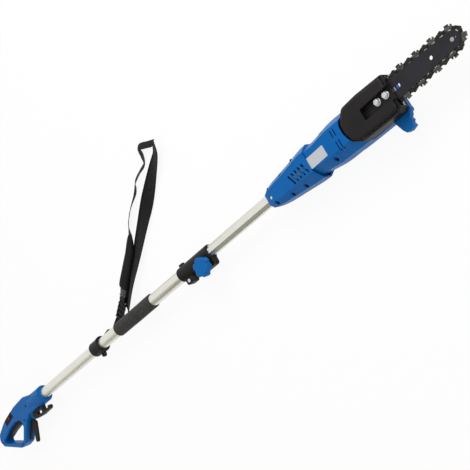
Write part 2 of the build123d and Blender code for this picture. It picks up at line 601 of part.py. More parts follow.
def make_housing():
    """Two halves of the motor housing: the left one runs on below the bar, and the right one stops at the cover."""
    rear = housing_loft(REAR_BODY)
    middle = housing_loft(MIDDLE_BODY)
    front = housing_loft(FRONT_BODY)
    hollow = housing_loft(REAR_BODY, WALL) - slice_of(TAIL - OVERCUT, TAIL + SOCKET_DEPTH)
    hollow += housing_loft(MIDDLE_BODY, WALL)
    front_hollow = housing_loft(FRONT_BODY, WALL) & slice_of(0, FRONT - WALL)
    body = rear + middle
    shell = body - hollow
    socket = eight_sided(TAIL - OVERCUT, TAIL + SOCKET_DEPTH + OVERCUT, INNER_TUBE_CORNER + SLIDING_FIT)

    walls = []
    for x, seat in ((REAR_BEARING, MOTOR_BEARING_RADIUS), (FRONT_BEARING, MOTOR_BEARING_RADIUS)):
        walls.append((x + GAP, x + MOTOR_BEARING_WIDTH - GAP, seat + RUNNING_FIT))
    for x in (STATOR_REAR + RIB, STATOR_FRONT - 2 * RIB):
        walls.append((x, x + RIB, STATOR_RADIUS + RUNNING_FIT))
    for x0, x1, seat in walls:
        shell += (slice_of(x0, x1) & body) - bore(x0, x1, seat)
    for x, y in HOUSING_SCREWS:
        shell += post(x, y, -HOUSING_REACH, HOUSING_REACH, BOSS_RADIUS) & body
    shell -= socket

    right = shell & slice_of(TAIL - OVERCUT, COVER_REAR, 0, HOUSING_REACH)
    right += (front - front_hollow) & slice_of(COVER_REAR, SPROCKET_X, TUB_TOP + GAP, HOUSING_REACH)
    right -= slab(offset(cover_outline(), GAP), TUB_TOP, HOUSING_REACH)
    left = shell & slice_of(TAIL - OVERCUT, COVER_REAR, -HOUSING_REACH, 0)
    left += (front - front_hollow) & slice_of(COVER_REAR, FRONT, -HOUSING_REACH, TUB_TOP)
    left += slab(branch_hook(), -HOOK_HALF_THICK, TUB_TOP) - front_hollow
    boss_top = LOWER_BEARING + LOWER_BEARING_WIDTH
    boss = post(SPROCKET_X, 0, -HOUSING_REACH, boss_top - GAP, LOWER_BEARING_RADIUS + BEARING_BOSS) & front
    left += boss - post(SPROCKET_X, 0, LOWER_BEARING, boss_top, LOWER_BEARING_RADIUS + RUNNING_FIT)
    left += block(-REST_LENGTH / 2, REST_LENGTH / 2, -REST_WIDTH / 2, REST_WIDTH / 2, FLOOR, FLOOR + 3 * WALL)
    left -= post(CAP_X, 0, FLOOR - OVERCUT, CAP_SEAT, CAP_RADIUS + GAP + OVERCUT)
    left -= post(CAP_X, 0, FLOOR, 0, NECK_RADIUS + GAP)

    for x, y in HOUSING_SCREWS:
        right -= post(x, y, SCREW_SEAT, HOUSING_REACH, SCREW_HEAD_RADIUS + GAP)
        right -= post(x, y, -OVERCUT, SCREW_SEAT, SCREW_RADIUS + GAP)
        left -= post(x, y, -SCREW_REACH - GAP, OVERCUT, SCREW_RADIUS + GAP)
    right -= post(*TUBE_SCREW, TUBE_SCREW_SEAT, HOUSING_REACH, SCREW_HEAD_RADIUS + GAP)
    right -= post(*TUBE_SCREW, 0, HOUSING_REACH, SCREW_RADIUS + GAP)
    for i in range(LOUVRES):
        x = LOUVRE_MIDDLE[0] + (i - (LOUVRES - 1) / 2) * LOUVRE_PITCH
        y = LOUVRE_MIDDLE[1]
        slot = Pos(x, y, 0) * SlotOverall(LOUVRE_LENGTH, LOUVRE_WIDTH, rotation=LOUVRE_TURN)
        right -= slab(slot, STATOR_RADIUS + GAP, HOUSING_REACH)
    for x in VENT_ROWS:
        for y, length in VENTS:
            right -= slab(Pos(x, y, 0) * SlotOverall(length, VENT_WIDTH, rotation=90), FAN_RADIUS, HOUSING_REACH)
    put("housing_right_half", right)
    put("housing_left_half", left)

    screws = []
    for x, y in HOUSING_SCREWS:
        screws.append(post(x, y, SCREW_SEAT, SCREW_SEAT + SCREW_HEAD, SCREW_HEAD_RADIUS)
                      + post(x, y, -SCREW_REACH, SCREW_SEAT, SCREW_RADIUS))
    put("housing_screws", *screws)
    head_top = TUBE_SCREW_SEAT + SCREW_HEAD
    put("tube_screw", post(*TUBE_SCREW, TUBE_SCREW_SEAT, head_top, SCREW_HEAD_RADIUS)
        + post(*TUBE_SCREW, TUBE_SCREW_TIP, TUBE_SCREW_SEAT, SCREW_RADIUS))
    skin = housing_loft(MIDDLE_BODY, -LABEL_THICK) - housing_loft(MIDDLE_BODY, -SLIDING_FIT)
    put("rating_label", skin & slab(Pos(*LABEL_MIDDLE, 0) * RectangleRounded(*LABEL_SIZE, LABEL_ROUND), 0, HOUSING_REACH))


def make_motor():
    """Mains motor along the pole: field, armature, commutator, brushes, fan and two bearings."""
    put("motor_stator", tube(STATOR_REAR, STATOR_FRONT, STATOR_RADIUS, STATOR_BORE))
    shaft = rod(REAR_BEARING, SPROCKET_X - pinion_inner(), MOTOR_SHAFT_RADIUS)
    shaft += rod(STATOR_REAR + RIB, STATOR_FRONT - RIB, CORE_RADIUS)
    put("motor_armature", shaft)
    clear = MOTOR_SHAFT_RADIUS + RUNNING_FIT
    end = COMMUTATOR_REAR + COMMUTATOR_LENGTH
    put("commutator", tube(COMMUTATOR_REAR, end, COMMUTATOR_RADIUS, clear))
    reach = COMMUTATOR_RADIUS + GAP
    brush = block(COMMUTATOR_REAR + GAP, end - GAP, -BRUSH_WIDTH / 2, BRUSH_WIDTH / 2, reach, reach + BRUSH_LENGTH)
    put("brush_holders", brush, Rot(180, 0, 0) * brush)
    put("motor_bearings", *[tube(x, x + MOTOR_BEARING_WIDTH, MOTOR_BEARING_RADIUS, clear)
                            for x in (REAR_BEARING, FRONT_BEARING)])
    fan = rod(FAN_REAR, FAN_REAR + FAN_DISC, FAN_RADIUS) + rod(FAN_REAR, FAN_REAR + FAN_DISC + FAN_BLADE, FAN_HUB)
    for i in range(FAN_BLADES):
        blade = block(FAN_REAR, FAN_REAR + FAN_DISC + FAN_BLADE, -FAN_BLADE_THICK / 2, FAN_BLADE_THICK / 2,
                      FAN_HUB - OVERCUT, FAN_RADIUS - OVERCUT)
        fan += Rot(360 * i / FAN_BLADES, 0, 0) * blade
    put("motor_fan", fan - bore(FAN_REAR, FAN_REAR + FAN_DISC + FAN_BLADE, clear))


def cone_angle(teeth, mate):
    return atan2(teeth, mate)


def pinion_outer():
    """Distance from the apex to the plane of the pinion's outer end."""
    return CONE_DISTANCE * cos(cone_angle(PINION_TEETH, GEAR_TEETH))


def pinion_inner():
    return pinion_outer() * (1 - TOOTH_FACE / CONE_DISTANCE)


def bevel_profile(teeth, mate, distance, shift):
    """Section of a straight bevel gear square to its axis, at a distance from the apex.

    The flanks are involutes on the back cone, carried to the section along rays from the apex.
    """
    cone = cone_angle(teeth, mate)
    pitch_radius = CONE_DISTANCE * sin(cone)
    module = 2 * pitch_radius / teeth
    back_radius = pitch_radius / cos(cone)
    base_radius = back_radius * cos(radians(PRESSURE_ANGLE))
    pitch_half = (pi * module / 2 - BACKLASH) / (2 * back_radius)

    def involute(angle):
        return tan(angle) - angle

    flank = []
    for height in (-1.2 * module, -0.5 * module, 0.0, 0.5 * module, 0.9 * module):
        radius = max(back_radius + height, base_radius)
        half = pitch_half + involute(radians(PRESSURE_ANGLE)) - involute(acos(base_radius / radius))
        out = pitch_radius + height * cos(cone)
        along = CONE_DISTANCE * cos(cone) - height * sin(cone)
        flank.append((out * distance / along, half / cos(cone)))
    points = []
    for i in range(teeth):
        middle = (i + shift) * 2 * pi / teeth
        points += [(r * cos(middle - a), r * sin(middle - a)) for r, a in flank]
        points += [(r * cos(middle + a), r * sin(middle + a)) for r, a in reversed(flank)]
    return Polygon(*points, align=None)


def bevel_teeth(teeth, mate, near, far, shift):
    """Toothed cone along +Z from its apex at the origin, with a tooth (shift 0) or a gap (0.5) at +X."""
    ends = [Pos(0, 0, z) * bevel_profile(teeth, mate, z, shift) for z in (near, far)]
    return loft(ends, ruled=True)


def make_drive():
    """Bevel pair, sprocket shaft with its bearings, and the chain sprocket."""
    pinion = bevel_teeth(PINION_TEETH, GEAR_TEETH, pinion_inner(), pinion_outer(), 0.5)
    pinion -= Cylinder(MOTOR_SHAFT_RADIUS + RUNNING_FIT, 2 * CONE_DISTANCE, align=BASE)
    pinion_axis = Plane(origin=(SPROCKET_X, 0, 0), x_dir=(0, 0, -1), z_dir=(-1, 0, 0))
    put("bevel_pinion", pinion_axis * pinion)

    inner = pinion_inner() * tan(cone_angle(PINION_TEETH, GEAR_TEETH))
    gear = bevel_teeth(GEAR_TEETH, PINION_TEETH, inner, GEAR_TOOTH_BACK, 0)
    gear &= Cylinder(GEAR_RADIUS, GEAR_BACK, align=BASE)
    gear += Pos(0, 0, GEAR_TOOTH_BACK) * Cylinder(GEAR_RADIUS, GEAR_BACK - GEAR_TOOTH_BACK, align=BASE)
    gear += Pos(0, 0, inner) * Cylinder(GEAR_HUB_RADIUS, GEAR_HUB_BACK - inner, align=BASE)
    gear -= Cylinder(DRIVE_SHAFT_RADIUS + RUNNING_FIT, 2 * GEAR_HUB_BACK, align=BASE)
    gear_axis = Plane(origin=(SPROCKET_X, 0, 0), x_dir=(-1, 0, 0), z_dir=(0, 0, -1))
    put("bevel_gear", gear_axis * gear)

    put("drive_shaft", post(SPROCKET_X, 0, LOWER_BEARING, DRIVE_SHAFT_TOP, DRIVE_SHAFT_RADIUS))
    seat = DRIVE_SHAFT_RADIUS + RUNNING_FIT
    upper = PLATE_TOP - UPPER_BEARING_WIDTH
    put("drive_bearings",
        ring(SPROCKET_X, 0, LOWER_BEARING, LOWER_BEARING + LOWER_BEARING_WIDTH, LOWER_BEARING_RADIUS, seat),
        ring(SPROCKET_X, 0, upper, PLATE_TOP, UPPER_BEARING_RADIUS, seat))

    rim = Circle(SPROCKET_RIM_RADIUS)
    for place in PolarLocations(SPROCKET_RIM_RADIUS + SPROCKET_NOTCH / 2, SPROCKET_TEETH):
        rim -= place * Circle(SPROCKET_NOTCH)
    low = BAR_MIDDLE - SPROCKET_HALF
    high = BAR_MIDDLE + SPROCKET_HALF
    wheel = slab(rim, low, BAR_MIDDLE - SPROCKET_GROOVE / 2) + slab(rim, BAR_MIDDLE + SPROCKET_GROOVE / 2, high)
    wheel += post(0, 0, low, high, SPROCKET_CORE_RADIUS)
    put("chain_sprocket", Pos(SPROCKET_X, 0, 0) * (wheel - post(0, 0, 0, DRIVE_SHAFT_TOP, seat)))


def plate_outline():
    return offset(cover_outline(), -COVER_WALL - GAP)


def make_gear_plate():
    """Metal plate over the tub: it seats the upper bearing, the bar and the bar's studs."""
    plate = slab(plate_outline(), TUB_TOP, PLATE_TOP)
    seat_rear = BAR_TAIL + UPPER_BEARING_RADIUS
    plate += block(seat_rear, FRONT - COVER_WALL - 4 * GAP, -SEAT_HALF, SEAT_HALF, PLATE_TOP, BAR_SEAT)
    plate -= post(SPROCKET_X, 0, PLATE_TOP - UPPER_BEARING_WIDTH, PLATE_TOP + OVERCUT,
                  UPPER_BEARING_RADIUS + RUNNING_FIT)
    plate -= post(SPROCKET_X, 0, 0, PLATE_TOP, DRIVE_SHAFT_RADIUS + BEARING_BOSS)
    plate -= rod(COVER_REAR - SOCKET_DEPTH, SPROCKET_X - pinion_inner() + OVERCUT, PINION_POCKET)
    for x in STUDS:
        plate -= post(x, 0, TUB_TOP + GAP, BAR_SEAT + OVERCUT, STUD_RADIUS + RUNNING_FIT)
    put("gear_plate", plate)
    put("bar_studs", *[post(x, 0, TUB_TOP + GAP, STUD_TOP, STUD_RADIUS) for x in STUDS])
    nuts = []
    seat = PANEL_BASE + PANEL_THICK
    for x in STUDS:
        nut = post(x, 0, seat, seat + NUT_FLANGE, NUT_FLANGE_RADIUS)
        nut += Pos(x, 0, 0) * slab(RegularPolygon(NUT_CORNER, 6), seat, seat + NUT_HEIGHT)
        nuts.append(nut - post(x, 0, seat - OVERCUT, STUD_TOP + OVERCUT, STUD_RADIUS + RUNNING_FIT))
    put("bar_nuts", *nuts)


def panel_outline():
    """Clamping panel sunk into the cover, where the nuts sit: it widens to the front."""
    front = FRONT + PANEL_OVERRUN
    return rounded([(front, 11, 0), (200, 8, 3), (200, -17, 3), (front, -18.5, 0)])


def chain_room():
    """Way of the running chain, seen from above, with some room on each side of it."""
    line = Polygon(*[belt_point(i * CHAIN_PITCH) for i in range(2 * DRIVE_LINKS)], align=None)
    return offset(line, CUTTER_TOP + OVERCUT) - offset(line, -STRAP_BOTTOM - OVERCUT)


def make_cover():
    """Sprocket cover: a moulded hood, open to the front, with a sunk panel that clamps the bar."""
    outline = cover_outline()
    hood = slab(outline, TUB_TOP + GAP, COVER_TOP)
    hood = fillet(hood.faces().sort_by(Axis.Z)[-1].edges(), COVER_ROUND)
    hood -= slab(offset(outline, -COVER_WALL), TUB_TOP, COVER_TOP - COVER_WALL)
    hood -= block(FRONT - 2 * COVER_WALL, FRONT + MOUTH_OVERRUN, -MOUTH_HALF, MOUTH_HALF, TUB_TOP, MOUTH_TOP)
    panel = panel_outline()
    well = slab(offset(panel, COVER_WALL), PANEL_BASE, COVER_TOP)
    hood += well & slab(outline, TUB_TOP, COVER_TOP)
    hood -= slab(panel, PANEL_BASE + PANEL_THICK, COVER_TOP + OVERCUT)
    hood -= slab(chain_room(), TUB_TOP, BAR_MIDDLE + CHAIN_ROOM)
    for x in STUDS:
        hood -= post(x, 0, 0, COVER_TOP, STUD_RADIUS + GAP)
    put("sprocket_cover", hood)


def belt_line(nose_x):
    """Upper half of the chain's rivet line: round the sprocket, over the bar's belly, round the nose.

    Each stretch is (centre, radius, angle at its start, angle at its end), run clockwise, and the stretches
    are joined by straight runs.
    """
    belly = (BELLY_X, BELLY_HALF + RIVET_HEIGHT - BELLY_RADIUS)
    rounds = [((SPROCKET_X, 0), SPROCKET_PITCH_RADIUS), (belly, BELLY_RADIUS), ((nose_x, 0), NOSE_PITCH_RADIUS)]
    angles = [pi]
    for (a, a_radius), (b, b_radius) in zip(rounds, rounds[1:]):
        distance = hypot(b[0] - a[0], b[1] - a[1])
        heading = atan2(b[1] - a[1], b[0] - a[0])
        angles.append(heading + acos((a_radius - b_radius) / distance))
    angles.append(0)
    return [(centre, radius, angles[i], angles[i + 1]) for i, (centre, radius) in enumerate(rounds)]


def on_circle(centre, radius, angle):
    return (centre[0] + radius * cos(angle), centre[1] + radius * sin(angle))


def half_length(nose_x):
    stretches = belt_line(nose_x)
    total = sum(radius * (start - end) for centre, radius, start, end in stretches)
    for (a, a_radius, a_start, a_end), (b, b_radius, b_start, b_end) in zip(stretches, stretches[1:]):
        p = on_circle(a, a_radius, a_end)
        q = on_circle(b, b_radius, b_start)
        total += hypot(q[0] - p[0], q[1] - p[1])
    return total


def fit_nose():
    """Place of the bar's nose at which a whole number of links closes round it."""
    near = BELLY_X
    far = BELLY_X + DRIVE_LINKS * CHAIN_PITCH
    for step in range(60):
        middle = (near + far) / 2
        if half_length(middle) < DRIVE_LINKS * CHAIN_PITCH:
            near = middle
        else:
            far = middle
    return near


NOSE_X = fit_nose()


def belt_point(length):
    """Point of the rivet line at a length from the back of the sprocket, over the top and back below."""
    half = DRIVE_LINKS * CHAIN_PITCH
    length %= 2 * half
    if length > half:
        x, y = belt_point(2 * half - length)
        return (x, -y)
    stretches = belt_line(NOSE_X)
    for i, (centre, radius, start, end) in enumerate(stretches):
        arc = radius * (start - end)
        if length <= arc or i == len(stretches) - 1:
            return on_circle(centre, radius, start - length / radius)
        length -= arc
        p = on_circle(centre, radius, end)
        following = stretches[i + 1]
        q = on_circle(following[0], following[1], following[2])
        run = hypot(q[0] - p[0], q[1] - p[1])
        if length <= run:
            return (p[0] + (q[0] - p[0]) * length / run, p[1] + (q[1] - p[1]) * length / run)
        length -= run


def bar_outline(inset, nose_radius):
    """Bar seen from above, its edges a steady inset inside the chain's rivet line."""
    stretches = belt_line(NOSE_X)
    belly, belly_radius, rise, fall = stretches[1]
    nose = (NOSE_X, 0)
    rise_end = on_circle(belly, belly_radius - inset, rise)
    slope = rise - pi / 2
    tail = (BAR_TAIL, rise_end[1] - (rise_end[0] - BAR_TAIL) * tan(slope))
    upper = [
        Line(tail, rise_end),
        ThreePointArc(rise_end, on_circle(belly, belly_radius - inset, (rise + fall) / 2),
                      on_circle(belly, belly_radius - inset, fall)),
        Line(on_circle(belly, belly_radius - inset, fall), on_circle(nose, nose_radius, fall)),
        ThreePointArc(on_circle(nose, nose_radius, fall), on_circle(nose, nose_radius, fall / 2),
                      (NOSE_X + nose_radius, 0))]
    lower = [mirror(edge, about=Plane.XZ) for edge in upper]
    return make_face(upper + lower + [Line(tail, (tail[0], -tail[1]))])


def make_bar():
    """Laminated guide bar: two rails on a narrower core, which leaves the groove, with a wheel in its nose."""
    rail_nose = NOSE_PITCH_RADIUS - RIVET_HEIGHT - NOSE_LIFT
    rails = bar_outline(RIVET_HEIGHT, rail_nose)
    core = bar_outline(RIVET_HEIGHT + GROOVE_DEPTH, rail_nose - GROOVE_DEPTH)
    wheel_place = Pos(NOSE_X, 0, 0)
    core -= wheel_place * Circle(NOSE_WHEEL_RADIUS + 2 * GAP)
    slot = Pos((SLOT_REAR + SLOT_FRONT) / 2, 0, 0) * SlotOverall(SLOT_FRONT - SLOT_REAR, 2 * (STUD_RADIUS + GAP))
    groove_low = BAR_MIDDLE - GROOVE_WIDTH / 2
    groove_high = BAR_MIDDLE + GROOVE_WIDTH / 2
    bar = slab(rails, BAR_MIDDLE - BAR_THICK / 2, groove_low) + slab(core, groove_low, groove_high)
    bar += slab(rails, groove_high, BAR_TOP)
    bar -= slab(slot, 0, 2 * BAR_TOP)
    bar -= post(BAR_HOLE_X, 0, 0, 2 * BAR_TOP, BAR_HOLE_RADIUS)
    bar -= post(NOSE_X, 0, 0, 2 * BAR_TOP, NOSE_RIVET_RADIUS + RUNNING_FIT)
    bar -= post(NOSE_X + GREASE_HOLE, 0, 0, 2 * BAR_TOP, GREASE_HOLE_RADIUS)
    put("guide_bar", bar)

    rivet = post(NOSE_X, 0, BAR_MIDDLE - BAR_THICK / 2, BAR_TOP, NOSE_RIVET_RADIUS)
    for z in (BAR_TOP, BAR_MIDDLE - BAR_THICK / 2 - NOSE_RIVET_HEAD):
        rivet += post(NOSE_X, 0, z, z + NOSE_RIVET_HEAD, NOSE_RIVET_HEAD_RADIUS)
    put("nose_rivet", rivet)
    wheel = Circle(NOSE_WHEEL_RADIUS)
    for place in PolarLocations(NOSE_WHEEL_RADIUS + NOSE_WHEEL_NOTCH / 2, NOSE_WHEEL_TEETH):
        wheel -= place * Circle(NOSE_WHEEL_NOTCH)
    wheel -= Circle(NOSE_RIVET_RADIUS + NOSE_BEARING_ROOM)
    put("nose_wheel", wheel_place * slab(wheel, BAR_MIDDLE - NOSE_WHEEL_THICK / 2, BAR_MIDDLE + NOSE_WHEEL_THICK / 2))


def side_plate(inner, outer):
    """Side plate of a link, between two heights above the chain's middle plane."""
    end = CHAIN_PITCH / 2 + LINK_END
    plate = Polygon((end, -1.2), (end, 1.0), (end - 2.2, STRAP_TOP), (2.2 - end, STRAP_TOP), (-end, 1.0),
                    (-end, -1.2), (2.2 - end, -STRAP_BOTTOM), (end - 2.2, -STRAP_BOTTOM), align=None)
    return slab(plate, inner, outer)


def rivets():
    """Both rivets of a link, ground flush with the outer faces of the side plates."""
    outer = DRIVE_LINK_THICK / 2 + LINK_GAP + STRAP_THICK
    shank = slab(RegularPolygon(RIVET_RADIUS, 6), -outer, outer)
    return [Pos(x, 0, 0) * shank for x in (-CHAIN_PITCH / 2, CHAIN_PITCH / 2)]


def tie_link():
    """Two side plates held by their rivets."""
    inner = DRIVE_LINK_THICK / 2 + LINK_GAP
    outer = inner + STRAP_THICK
    return side_plate(inner, outer) + side_plate(-outer, -inner) + rivets()


def cutter_link():
    """Tie link whose upper side plate carries a depth gauge in front and a cutting plate behind."""
    inner = DRIVE_LINK_THICK / 2 + LINK_GAP
    outer = inner + STRAP_THICK
    end = CHAIN_PITCH / 2 + LINK_END
    gauge = Polygon((end, 0), (end - 0.6, DEPTH_GAUGE_TOP - 1), (end - 2, DEPTH_GAUGE_TOP), (end - 4.2, DEPTH_GAUGE_TOP),
                    (end - 5.4, STRAP_TOP - 1), align=None)
    heel = Polygon((1.6, STRAP_TOP - 1), (0.6, CUTTER_TOP), (-end - 0.8, CUTTER_TOP - 1), (-end, 0.5), align=None)
    top = Polygon((0.6, CUTTER_TOP), (0.4, CUTTER_TOP - CUTTER_PLATE), (-end - 0.8, CUTTER_TOP - CUTTER_PLATE - 1),
                  (-end - 0.8, CUTTER_TOP - 1), align=None)
    link = tie_link() + slab(gauge, inner, outer) + slab(heel, inner, outer)
    return link + slab(top, inner - CUTTER_REACH, outer + CUTTER_REACH)


def drive_link():
    """Middle plate with the tang that runs in the bar's groove."""
    end = CHAIN_PITCH / 2 + LINK_END
    plate = Polygon((end, -1.2), (end, 1.2), (end - 1.6, 2.6), (1.6 - end, 2.6), (-end, 1.2), (-end, -1.2),
                    (-CHAIN_PITCH / 2, -3.4), (-3.4, -TANG_DEPTH + 0.8), (-1.6, -TANG_DEPTH), (1.6, -TANG_DEPTH),
                    (CHAIN_PITCH / 2 + 0.8, -3.2), align=None)
    for x in (-CHAIN_PITCH / 2, CHAIN_PITCH / 2):
        plate -= Pos(x, 0, 0) * RegularPolygon(RIVET_RADIUS + RIVET_CLEARANCE, 6)
    return slab(plate, -DRIVE_LINK_THICK / 2, DRIVE_LINK_THICK / 2)


def link_place(i):
    """Location of link i: its rivets on the rivet line, its length along the way the chain runs."""
    p = belt_point((i + 0.5) * CHAIN_PITCH)
    q = belt_point((i + 1.5) * CHAIN_PITCH)
    turn = degrees(atan2(q[1] - p[1], q[0] - p[0]))
    return Pos((p[0] + q[0]) / 2, (p[1] + q[1]) / 2, BAR_MIDDLE) * Rot(0, 0, turn)


def make_chain():
    """Saw chain: drive links between side links, every other side link a cutter, left and right by turns."""
    drive = drive_link()
    tie = tie_link()
    right = cutter_link()
    left = mirror(right, about=Plane.XY)
    links = {"chain_drive_links": [], "chain_tie_links": [], "chain_right_cutters": [], "chain_left_cutters": []}
    for i in range(2 * DRIVE_LINKS):
        if i % 2:
            name, shape = "chain_drive_links", drive
        elif i % 4:
            name, shape = "chain_tie_links", tie
        elif i % 8:
            name, shape = "chain_left_cutters", left
        else:
            name, shape = "chain_right_cutters", right
        links[name].append(link_place(i) * shape)
    for name, shapes in links.items():
        put(name, *shapes)


def make_oiling():
    """Oil tank under the gear plate, its filler cap on the saw's left side, and the pump beside the gear."""
    tank_top = TUB_TOP - GAP
    tank = Pos(0, TANK_MIDDLE, 0) * block(TANK_REAR, TANK_FRONT, -TANK_HALF, TANK_HALF, TANK_BASE, tank_top)
    tank = fillet(tank.edges().filter_by(Axis.Z), TANK_ROUND)
    inside = Pos(0, TANK_MIDDLE, 0) * block(TANK_REAR + TANK_WALL, TANK_FRONT - TANK_WALL, TANK_WALL - TANK_HALF,
                                  TANK_HALF - TANK_WALL, TANK_BASE + TANK_WALL, tank_top - TANK_WALL)
    tank = tank - inside + post(CAP_X, 0, NECK_BASE, TANK_BASE + TANK_WALL, NECK_RADIUS)
    neck_bore = NECK_RADIUS - TANK_WALL
    put("oil_tank", tank - post(CAP_X, 0, NECK_BASE - OVERCUT, TANK_BASE + 2 * TANK_WALL, neck_bore))
    cap_top = NECK_BASE - GAP
    cap = post(CAP_X, 0, CAP_BASE, cap_top, CAP_RADIUS)
    notch = post(0, 0, CAP_BASE - OVERCUT, cap_top + OVERCUT, CAP_NOTCH)
    cap -= Pos(CAP_X, 0, 0) * PolarLocations(CAP_RADIUS + CAP_NOTCH / 2, CAP_RIBS) * notch
    cap += post(CAP_X, 0, cap_top, TANK_BASE, neck_bore - SLIDING_FIT)
    put("oil_cap", cap)
    pump_x = SPROCKET_X + PUMP_AHEAD
    pump_y = -GEAR_RADIUS - PUMP_WIDTH - PUMP_ROOM
    put("oil_pump", block(pump_x, pump_x + PUMP_LENGTH, pump_y, pump_y + PUMP_WIDTH, tank_top - PUMP_DEPTH, tank_top))


# Floor points of the shoulder strap, with the ribbon's roll in degrees at each
BELT_ROUTE = ((-376, 322, -38), (-385, 296, -30), (-416, 269, -19), (-482, 224, -4), (-540, 180, -14),
              (-606, 130, -24), (-677.1, 78.7, -34), (-728.5, 32.5, -42))
WEB_ROUTE = ((-382, 336, -50), (-404, 342, -48), (-421, 345, -46), (-433, 330, -42), (-439, 306, -52), (-462, 297, -38),
             (-488, 285, -40), (-497, 271, -54), (-512, 257, -60), (-540, 244, -52), (-563, 231, -42),
             (-582, 213, -44), (-599.5, 187.9, -20))
PAD_ROUTE = ((-599.2, 185.6), (-626, 157.2), (-660, 129.2), (-694, 103.2), (-711.7, 88.9))
SOCKET_ENDS = ((-712.2, 88.6), (-729.2, 74.6))
PLUG_ENDS = ((-729.7, 74.2), (-743.2, 62.6))
ADJUSTER_ENDS = ((-744.2, 61.8), (-783, 36.2))
TAIL_ROUTE = ((-784.2, 35.1, 8, 2), (-795, 25.2, 18, 5), (-804.5, 13.6, 28, 11), (-815.2, 12.75, 30, 13.3))


def ribbon(route, width, thick):
    """Flat strap through floor points: rectangles across the route, each rolled, and lifted where it is held."""
    sections = []
    for i, (x, y, roll, *lift) in enumerate(route):
        before = route[max(i - 1, 0)]
        after = route[min(i + 1, len(route) - 1)]
        ahead = Vector(after[0] - before[0], after[1] - before[1], 0).normalized()
        side = Vector(-ahead.Y, ahead.X, 0)
        tilt = radians(roll)
        wide = side * -cos(tilt) + Vector(0, 0, 1) * sin(tilt)
        height = (width * abs(sin(tilt)) + thick * cos(tilt)) / 2
        plane = Plane(origin=(x, y, FLOOR + sum(lift) + height), x_dir=wide, z_dir=ahead)
        sections.append(plane * Rectangle(width, thick))
    return loft(sections, ruled=True)


def along_floor(start, end, width, low, high, round_corner):
    """Flat piece on the floor from one point to another."""
    length = hypot(end[0] - start[0], end[1] - start[1])
    turn = degrees(atan2(end[1] - start[1], end[0] - start[0]))
    shape = Pos(length / 2, 0, 0) * RectangleRounded(length, width, round_corner)
    return Pos(start[0], start[1], 0) * Rot(0, 0, turn) * slab(shape, FLOOR + low, FLOOR + high)


def make_strap():
    """Shoulder strap: belt, twisted webbing, pad, side-release buckle and the hook in the collar's eyelet."""
    put("strap_belt", ribbon(BELT_ROUTE, BELT_WIDTH, BELT_THICK))
    put("strap_webbing", ribbon(WEB_ROUTE, WEB_WIDTH, WEB_THICK))
    middle = []
    for i, (x, y) in enumerate(PAD_ROUTE):
        before = PAD_ROUTE[max(i - 1, 0)]
        after = PAD_ROUTE[min(i + 1, len(PAD_ROUTE) - 1)]
        ahead = Vector(after[0] - before[0], after[1] - before[1], 0).normalized()
        end = i in (0, len(PAD_ROUTE) - 1)
        plane = Plane(origin=(x, y, FLOOR + PAD_THICK / 2), x_dir=(-ahead.Y, ahead.X, 0), z_dir=ahead)
        scale = PAD_END if end else 1.0
        thick = PAD_THICK * scale
        middle.append(plane * RectangleRounded(PAD_WIDTH * scale, thick, thick * PAD_ROUND))
    put("strap_pad", loft(middle))
    eye = Pos(EYELET_X, 0, 0) * Rot(STRAP_EYE_TURN, 0, 0) * Pos(0, EYELET_REACH, 0) * Rot(90, 0, 0)
    bend = HOOK_NARROW - GAP
    line = rounded([(0, -HOOK_NARROW, bend), (HOOK_LENGTH, -HOOK_WIDE, HOOK_CORNER),
                    (HOOK_LENGTH, HOOK_WIDE, HOOK_CORNER), (0, HOOK_NARROW, bend)]).wire()
    start = Plane(origin=line @ 0, z_dir=line % 0)
    put("strap_hook", eye * sweep(start * RegularPolygon(HOOK_WIRE, 8), path=line))
    loop = Pos(HOOK_LENGTH, 0, 0) * Rot(90, 0, 0) * (Cylinder(HOOK_WIRE + GAP + WEB_THICK, LOOP_LENGTH)
                                                     - Cylinder(HOOK_WIRE + GAP, LOOP_LENGTH))
    put("strap_tail", ribbon(TAIL_ROUTE, WEB_WIDTH, WEB_THICK) + eye * loop)
    adjuster_top = STRAP_LIFT + ADJUSTER_THICK
    put("strap_adjuster", along_floor(*ADJUSTER_ENDS, ADJUSTER_WIDTH, STRAP_LIFT, adjuster_top, ADJUSTER_ROUND))
    socket_top = STRAP_LIFT + BUCKLE_THICK
    put("buckle_socket", along_floor(*SOCKET_ENDS, BUCKLE_WIDTH, STRAP_LIFT, socket_top, BUCKLE_ROUND))
    put("buckle_plug", along_floor(*PLUG_ENDS, BUCKLE_WIDTH - 2 * PLUG_STEP, STRAP_LIFT + PLUG_STEP,
                                   socket_top - PLUG_STEP, BUCKLE_ROUND))


def main():
    make_tubes()
    make_foam_grip()
    make_strap_collar()
    make_clamp()
    make_handle()
    make_housing()
    make_motor()
    make_drive()
    make_gear_plate()
    make_cover()
    make_bar()
    make_chain()
    make_oiling()
    make_strap()
    os.makedirs("parts", exist_ok=True)
    for name, shape in pieces.items():
        export_step(shape, f"parts/{name}.step")


main()
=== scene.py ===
# %% [markdown]
# A telescoping pole saw lies on a pale floor. It has a motor head with a guide bar and saw chain, two tubes
# that slide in each other, a rear handle with a trigger, and a shoulder strap. The hard pieces come from the
# CAD model and keep their shapes. Here they get their finishes, and what a CAD solid only stands for, the
# chain, the screws, the strap and the foam, is made in full.

# %% Load the saw
import json
from math import acos, atan2, cos, copysign, exp, hypot, pi, radians, sin

import bmesh
import bpy
from mathutils import Matrix, Vector


